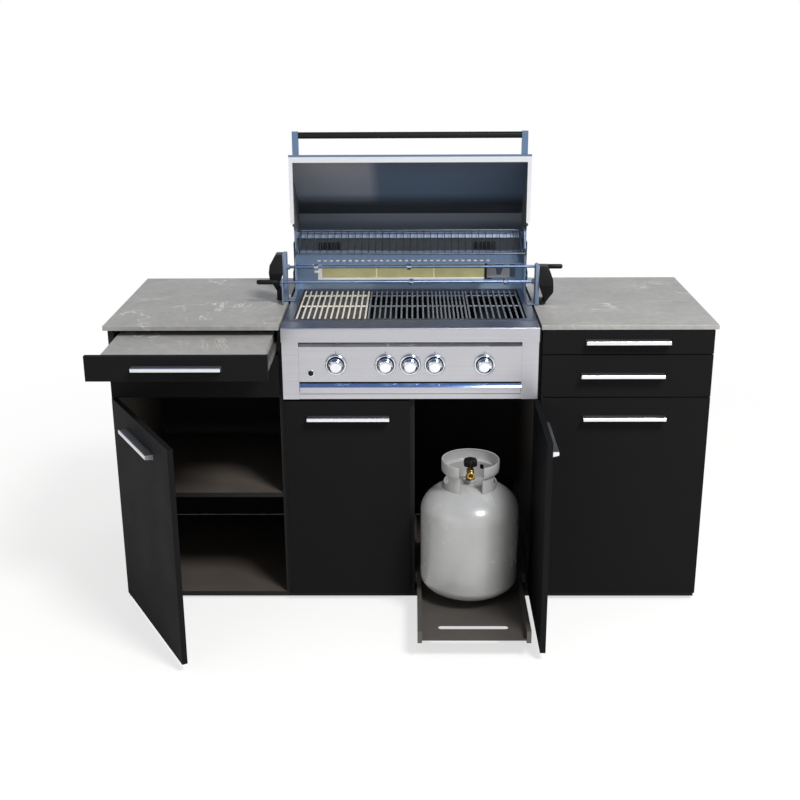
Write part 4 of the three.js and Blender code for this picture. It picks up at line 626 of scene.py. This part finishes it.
# Folded sheet in painted half shade: a dark cool grey with brush lines, its blue a painted sky
# reflection, for the flange, the motor brackets and the plate behind the burner's bracket.
folded, tree = new_material("folded_stainless_painted_half_shade")
place = add(tree, "ShaderNodeTexCoord").outputs["Object"]
lines = brush_lines(tree, place)
tone = add(tree, "ShaderNodeMix", {0: lines, 6: "#667389", 7: "#76849b"}, data_type="RGBA")
bump = add(tree, "ShaderNodeBump", {"Height": lines, "Strength": 0.4, "Distance": 0.00002})
shader = add(tree, "ShaderNodeBsdfPrincipled", {"Base Color": tone.outputs[2], "Metallic": 0.15,
                                                "Roughness": 0.5, "Normal": bump})
add(tree, "ShaderNodeOutputMaterial", {"Surface": shader})
shape = bmesh.new()
lean = Matrix.Translation(at(0, 459.5, 1075.5)) @ Matrix.Rotation(math.radians(-35), 4, "X")
corner = Vector((0.366, 0.0008, 0.0105))
slab(shape, -corner, corner, 0.4, lean)
built("rear_housing_top_flange", shape, folded, "island")
shape = bmesh.new()
for x in spread(-294, 250, 28):
    slab(shape, at(x - 5.2, 420.2, 996.8), at(x + 5.2, 421.4, 1001.2), 0.3)
built("rear_housing_slot_lips", shape, frame_steel, "island")
for name, x0, x1 in (("left", -298, -226), ("right", 205, 275)):
    shape = bmesh.new()
    # The black sheet behind the ribs is painted shade: it stands for the dark behind the vent slots.
    slab(shape, at(x0, 458.6, 1028), at(x1, 460.2, 1053), 0.3)
    built(f"rear_housing_vent_{name}", shape, nylon, "island")
    shape = bmesh.new()
    for x in spread(x0, x1, 6):
        slab(shape, at(x - 1.7, 457.4, 1028.5), at(x + 1.7, 459, 1052.5), 0.5)
    built(f"rear_housing_vent_{name}_ribs", shape, burnt, "island")

# Rear burner: bright sheet frame round three olive ceramic plates, which are pierced with rows of
# small gas holes and meet in pale fibre joints. A black clamp and a notched bracket hold its right
# end to the wall.
# Fired ceramic: matt and uneven in tone. The gas holes are drawn 4 mm apart, so that they show.
ceramic, tree = new_material("olive_burner_ceramic")
place = add(tree, "ShaderNodeTexCoord").outputs["Object"]
cells = add(tree, "ShaderNodeTexVoronoi", {"Vector": place, "Scale": 260.0, "Randomness": 0.15})
pores = add(tree, "ShaderNodeMapRange", {"Value": cells.outputs["Distance"], "From Min": 0.16,
                                         "From Max": 0.3})
cloudy = add(tree, "ShaderNodeTexNoise", {"Vector": place, "Scale": 18.0, "Detail": 4.0})
tone = add(tree, "ShaderNodeMix", {0: cloudy, 6: "#8f8b63", 7: "#bbb584"}, data_type="RGBA")
colour = add(tree, "ShaderNodeMix", {0: pores, 6: "#5a5842", 7: tone.outputs[2]}, data_type="RGBA")
bump = add(tree, "ShaderNodeBump", {"Height": pores, "Strength": 0.6, "Distance": 0.0004})
rough = add(tree, "ShaderNodeMapRange", {"Value": cloudy, "To Min": 0.8, "To Max": 0.95})
shader = add(tree, "ShaderNodeBsdfPrincipled", {"Base Color": colour.outputs[2], "Roughness": rough,
                                                "Normal": bump})
add(tree, "ShaderNodeOutputMaterial", {"Surface": shader})
shape = bmesh.new()
for left, right in ((-285, -111.3), (-106.3, 73.6), (78.6, 240)):
    slab(shape, at(left, 412.9, 946.5), at(right, 417.5, 989.5), 0.8)
built("rear_burner_ceramic", shape, ceramic, "island")
# Ceramic fibre: pale yellow and matt, a little brighter than the plates that it parts.
fibre, tree = new_material("pale_ceramic_fibre_joint")
place = add(tree, "ShaderNodeTexCoord").outputs["Object"]
tufts = add(tree, "ShaderNodeTexNoise", {"Vector": place, "Scale": 600.0, "Detail": 4.0})
tone = add(tree, "ShaderNodeMix", {0: tufts, 6: "#c6c58c", 7: "#d8d7a0"}, data_type="RGBA")
bump = add(tree, "ShaderNodeBump", {"Height": tufts, "Strength": 0.5, "Distance": 0.0001})
shader = add(tree, "ShaderNodeBsdfPrincipled", {"Base Color": tone.outputs[2], "Roughness": 0.9,
                                                "Normal": bump})
add(tree, "ShaderNodeOutputMaterial", {"Surface": shader})
shape = bmesh.new()
for x in (-108.8, 76.1):
    slab(shape, at(x - 2.3, 412.2, 946), at(x + 2.3, 414.4, 989.6), 0.5)
built("rear_burner_joints", shape, fibre, "island")
shape = bmesh.new()
slab(shape, at(-293, 414.2, 941.6), at(236, 459.8, 989.8), 1.0)
slab(shape, at(-297.4, 410.5, 938), at(238.4, 414, 946), 0.8)
slab(shape, at(-315, 404, 980.5), at(-297.6, 416, 991.5), 3.0)
slab(shape, at(-309, 408, 962), at(-296, 416, 969), 1.5)
slab(shape, at(-298, 411.5, 940), at(-284.5, 418, 989), 0.8)
box = built("rear_burner_box", shape, frame_steel, "island")
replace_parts(box, "rear_burner")
shape = bmesh.new()
slab(shape, at(240, 409, 941.7), at(246.6, 459.8, 991.8), 0.6)
slab(shape, at(239, 405, 941.7), at(262, 409, 945.5), 0.6)
built("rear_burner_clamp", shape, nylon, "island")
shape = bmesh.new()
bmesh.ops.create_grid(shape, x_segments=12, y_segments=8, size=1)
bottom, top, left, bracket_thick = 935.4, 979.1, 246.6, 1.6
for vert in shape.verts:
    across_plate, up = (vert.co.x + 1) / 2, (vert.co.y + 1) / 2
    right = 324 - 1.1 * up
    vert.co = at(left + (right - left) * across_plate, 456.6, bottom + (top - bottom) * up)
notch = [(at(281.4, 456, 944.6), Vector((-0.988, 0, -0.152))),
         (at(294.7, 456, 944.6), Vector((0.958, 0, -0.286))), (at(288, 456, 944.6), Vector((0, 0, -1)))]
for start, outward in notch:
    bmesh.ops.bisect_plane(shape, geom=shape.verts[:] + shape.edges[:] + shape.faces[:], dist=1e-7,
                           plane_co=start, plane_no=outward)
hollow = []
for face in shape.faces:
    spot = face.calc_center_median()
    if all((spot - start).dot(outward) < 0 for start, outward in notch):
        hollow.append(face)
bmesh.ops.delete(shape, geom=hollow, context="FACES")
bmesh.ops.recalc_face_normals(shape, faces=shape.faces)
bmesh.ops.solidify(shape, geom=shape.faces, thickness=bracket_thick / 1000)
built("rear_burner_bracket", shape, frame_steel, "island")
shape = bmesh.new()
slab(shape, at(246.6, 457.6, 936), at(342, 459.8, 979), 0.4)
built("rear_burner_bracket_back", shape, folded, "island")

# Hood: bright folded stainless outside and round its rim, with a blue strip of painted sky reflection
# along the top of the rim. The lining inside is painted in light and shade: its left part paler as if
# sunlit, its right part darker and bluer as if in shade, the lower panel lighter towards its top, and
# a black band of painted shade in the crease of the fold; the black grip sits between two square
# posts. The limits of each tone are heights and depths of the hood's own folds, in metres.
skin, tree = new_material("hood_stainless_painted_light_and_shade")
coordinates = add(tree, "ShaderNodeTexCoord")
place = coordinates.outputs["Object"]
parts = add(tree, "ShaderNodeSeparateXYZ", {"Vector": place})
turned = add(tree, "ShaderNodeSeparateXYZ", {"Vector": coordinates.outputs["Normal"]})
facing = add(tree, "ShaderNodeMapRange", {"Value": turned.outputs["Y"], "From Min": -0.05, "From Max": -0.15})
inward = add(tree, "ShaderNodeMath", {0: parts.outputs["X"], 1: turned.outputs["X"]}, operation="MULTIPLY")
cheek = add(tree, "ShaderNodeMapRange", {"Value": inward, "From Min": -0.02, "From Max": -0.1})
within = add(tree, "ShaderNodeMath", {0: facing, 1: cheek}, operation="MAXIMUM")
behind_rim = add(tree, "ShaderNodeMapRange", {"Value": parts.outputs["Y"], "From Min": 0.2588,
                                              "From Max": 0.2592})
under_rim = add(tree, "ShaderNodeMapRange", {"Value": parts.outputs["Z"], "From Min": 1.3412,
                                             "From Max": 1.3402})
held = add(tree, "ShaderNodeMath", {0: behind_rim, 1: under_rim}, operation="MULTIPLY")
lined = add(tree, "ShaderNodeMath", {0: within, 1: held}, operation="MULTIPLY")
lines = brush_lines(tree, place)
bright_tone = add(tree, "ShaderNodeMix", {0: lines, 6: "#e6e8ee", 7: "#f0f1f5"}, data_type="RGBA")
# Along the top of the rim a blue strip is painted as a reflection of the sky.
above = add(tree, "ShaderNodeMapRange", {"Value": parts.outputs["Z"], "From Min": 1.3328, "From Max": 1.3336})
outer_tone = add(tree, "ShaderNodeMix", {0: above, 6: bright_tone.outputs[2], 7: "#7088a8"}, data_type="RGBA")
# Inside, the left part is painted paler as if sunlit and the right part darker and bluer as if in shade, both
# lighter further down.
across_hood = add(tree, "ShaderNodeMapRange", {"Value": parts.outputs["X"], "From Min": -0.135,
                                               "From Max": -0.1})
falling = add(tree, "ShaderNodeMapRange", {"Value": parts.outputs["Z"], "From Min": 1.335, "From Max": 1.187})
painted_sunlit_side = add(tree, "ShaderNodeMix", {0: falling, 6: "#8e8b8b", 7: "#a6adbc"}, data_type="RGBA")
painted_shaded_side = add(tree, "ShaderNodeMix", {0: falling, 6: "#4f5364", 7: "#6a7f98"}, data_type="RGBA")
upper_tone = add(tree, "ShaderNodeMix", {0: across_hood, 6: painted_sunlit_side.outputs[2], 7: painted_shaded_side.outputs[2]},
                 data_type="RGBA")
# A black band of painted shade lies in the crease of the fold.
crease_shade = add(tree, "ShaderNodeMapRange", {"Value": parts.outputs["Z"], "From Min": 1.19, "From Max": 1.14},
           interpolation_type="SMOOTHSTEP")
fold = add(tree, "ShaderNodeMix", {0: crease_shade, 6: upper_tone.outputs[2], 7: "#383d44"}, data_type="RGBA")
# The lower panel is painted lighter towards its top.
rising = add(tree, "ShaderNodeMapRange", {"Value": parts.outputs["Z"], "From Min": 1.062, "From Max": 1.088})
low_tone = add(tree, "ShaderNodeMix", {0: rising, 6: "#66717d", 7: "#8e95a0"}, data_type="RGBA")
below_fold = add(tree, "ShaderNodeMapRange", {"Value": parts.outputs["Z"], "From Min": 1.1095,
                                              "From Max": 1.1085})
lining = add(tree, "ShaderNodeMix", {0: below_fold, 6: fold.outputs[2], 7: low_tone.outputs[2]},
             data_type="RGBA")
cheek_lining = add(tree, "ShaderNodeMix", {0: cheek, 6: lining.outputs[2], 7: "#6e6e70"}, data_type="RGBA")
colour = add(tree, "ShaderNodeMix", {0: lined, 6: outer_tone.outputs[2], 7: cheek_lining.outputs[2]},
             data_type="RGBA")
bump = add(tree, "ShaderNodeBump", {"Height": lines, "Strength": 0.4, "Distance": 0.00002})
bare = add(tree, "ShaderNodeMapRange", {"Value": lined, "To Min": 1.0, "To Max": 0.1})
rough = add(tree, "ShaderNodeMapRange", {"Value": lined, "To Min": 0.3, "To Max": 0.45})
shader = add(tree, "ShaderNodeBsdfPrincipled", {"Base Color": colour.outputs[2], "Metallic": bare,
                                                "Roughness": rough, "Normal": bump})
add(tree, "ShaderNodeOutputMaterial", {"Surface": shader})
dress(skin, 0, "hood")
shape = bmesh.new()
for side in (-1, 1):
    turn = Matrix.Translation(at(side * 379, 520, 1097)) @ Matrix.Rotation(math.radians(90 * side), 4, "Y")
    lathe(shape, [(0, 0), (3.2, 0), (3.2, 3.4), (4.4, 3.8), (4.4, 5.6), (3.4, 6.6), (0, 6.8)], turn, 24)
built("hood_stop_studs", shape, nylon, "hood")
shape = bmesh.new()
grip_place = Matrix.Translation(at(0, 402, 1398.2)) @ Matrix.Rotation(math.radians(90), 4, "Y")
grip_half, grip_radius, eased = 346, 10, 0.6
grip = [(0, -grip_half - eased), (grip_radius - eased, -grip_half - eased)]
grip += [(grip_radius, place) for place in spread(-grip_half, grip_half, 7)]
grip += [(grip_radius - eased, grip_half + eased), (0, grip_half + eased)]
lathe(shape, grip, grip_place, 40)
handle = built("hood_handle_grip", shape, nylon, "hood")
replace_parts(handle, "hood_handle")

# Warming rack: a bent wire frame with thirty-one welded rods, leaning back over the burner and
# hooked into the wings of the housing.
# Rack wire: dull drawn steel, with a blue cast that is a painted sky reflection.
rack_wire = metal("rack_wire_painted_sky_blue", "#69707c", "#7a828f", 0.3, 0.42, (60, 60, 60))
rack_half, hook_x = 352, 361.7
rack_front, rack_back = (365, 1033), (452, 1092)
shape = bmesh.new()
for x in spread(-rack_half, rack_half, 33)[1:-1]:
    rod(shape, at(x, *rack_front), at(x, *rack_back), 1.4, 10)
for x in (-rack_half, rack_half):
    rod(shape, at(x, *rack_front), at(x, *rack_back), 3)
    corner = Matrix.Translation(at(x, *rack_back))
    bmesh.ops.create_icosphere(shape, subdivisions=3, radius=0.003, matrix=corner)
rod(shape, at(-364.6, *rack_front), at(364.6, *rack_front), 3)
rod(shape, at(-rack_half, *rack_back), at(rack_half, *rack_back), 3)
for side in (-1, 1):
    rod(shape, at(side * hook_x, 364, 1033), at(side * hook_x, 398, 1033), 3)
    rod(shape, at(side * hook_x, 397, 1033), at(side * 370, 397, 1033), 3)
rack = built("warming_rack_wires", shape, rack_wire, "island", 50)
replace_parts(rack, "warming_rack")

# Spits: two ground bars with polished set-screw collars and black moulded grips. Each is driven by
# a motor in a black shell, on a folded bracket that stands beside the grill and has a bush for the
# driven bar and an eye for the end of the other one.
front_axis, rear_axis = (262, 966), (316, 1002)
motors = {
    "motor_front": (1, front_axis, rear_axis, 1017, 903.5,
                    [(0, 1), (27, 1), (41.5, 0.66), (43, 0.45), (43, 0.3), (19, 0)]),
    "motor_rear": (-1, rear_axis, front_axis, 1045, 931,
                   [(0, 1), (22, 1), (40, 0.72), (43, 0.52), (41, 0.34), (20, 0)]),
}
foot_z = 897.3
for name, (side, (y, z), (other_y, other_z), high, low, outline) in motors.items():
    shape = bmesh.new()
    plate = sorted((side * 386.5, side * 398.5))
    slab(shape, at(plate[0], y - 24, foot_z), at(plate[1], y + 24, high + 2), 1.2)
    foot = sorted((side * 362.5, side * 388.5))
    slab(shape, at(foot[0], y - 24, foot_z), at(foot[1], y + 24, foot_z + 2), 0.6)
    edge = sorted((side * 394.5, side * 398.5))
    slab(shape, at(edge[0], min(y, other_y - 12), foot_z), at(edge[1], max(y, other_y + 12), other_z), 0.6)
    sideways = Matrix.Rotation(math.radians(90 * side), 4, "Y")
    eye = [(5.4, 394.5), (11.4, 394.5), (12, 395.1), (12, 397.9), (11.4, 398.5), (5.4, 398.5), (5.4, 394.5)]
    lathe(shape, eye, Matrix.Translation(at(0, other_y, other_z)) @ sideways, 48)
    bush = [(5.2, 378), (7.6, 378), (8.2, 378.6), (8.2, 386), (10, 386), (10, 387), (5.2, 387), (5.2, 378)]
    lathe(shape, bush, Matrix.Translation(at(0, y, z)) @ sideways, 32)
    stand = built(f"{name}_bracket", shape, folded, "island")
    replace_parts(stand, name)
    shape = bmesh.new()
    ridge = low + 0.5 * (high - low)
    for out, up in outline:
        level_z = low + up * (high - low)
        slope = 10 * abs(level_z - ridge) / (high - ridge)
        for front in (-1, 1):
            shape.verts.new(at(side * (398.2 + out), y + front * (34 - slope), level_z))
    for front in (-1, 1):
        for out in (0, 42):
            shape.verts.new(at(side * (398.2 + out), y + front * 34, ridge))
    hull = bmesh.ops.convex_hull(shape, input=shape.verts)
    bmesh.ops.delete(shape, geom=[v for v in hull["geom_interior"] if isinstance(v, bmesh.types.BMVert)],
                     context="VERTS")
    bmesh.ops.dissolve_limit(shape, angle_limit=math.radians(1.5), verts=shape.verts, edges=shape.edges)
    bmesh.ops.bevel(shape, geom=shape.edges[:], offset=0.0014, offset_type="OFFSET", affect="EDGES",
                    segments=3, profile=0.5, material=-1, clamp_overlap=True)
    tail = sorted((side * 398.2, side * 419))
    slab(shape, at(tail[0], y - 22, 899.8), at(tail[1], y + 22, low + 9), 1.4)
    built(f"{name}_shell", shape, nylon, "island")
# Ground bars are satin, their blue a painted sky reflection; polished collars are bright and give sharp
# glints.
spit_steel = metal("ground_spit_steel_painted_sky_blue", "#7388a8", "#8599b8", 0.4, 0.5, (60, 60, 60))
collar_steel = metal("polished_collar_steel", "#c4cad6", "#d4d9e2", 0.12, 0.2, (60, 60, 60))
for name, (y, z), side in (("spit_front", front_axis, -1), ("spit_rear", rear_axis, 1)):
    shape = bmesh.new()
    turn = Matrix.Translation(at(0, y, z)) @ Matrix.Rotation(math.radians(90 * side), 4, "Y")
    bar = [(0, -392.5), (3.4, -392.5), (4.5, -390), (4.5, 400.5), (6, 401), (6, 403), (0, 403)]
    lathe(shape, bar, turn, 32)
    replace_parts(built(f"{name}_bar", shape, spit_steel, name), name)
    shape = bmesh.new()
    for spot in (-4, -296):
        low, high = spot - 7, spot + 7
        ring = [(4.4, low), (8.2, low), (9, low + 1), (9, high - 1), (8.2, high), (4.4, high)]
        lathe(shape, ring, turn, 32)
        head = turn @ Matrix.Translation((0, 0, spot / 1000))
        rod(shape, head @ Vector((0.0085, 0, 0)), head @ Vector((0.0105, 0, 0)), 2.2, 6)
    built(f"{name}_collars", shape, collar_steel, name)
    shape = bmesh.new()
    grip = [(0, 401.5), (5, 401.5), (5, 403.2), (7, 404), (7.4, 409), (6.6, 411), (6.6, 414), (7.4, 416),
            (7.4, 471), (6.4, 475.6), (3, 477.4), (0, 477.5)]
    lathe(shape, grip, turn, 32)
    built(f"{name}_grip", shape, nylon, name)
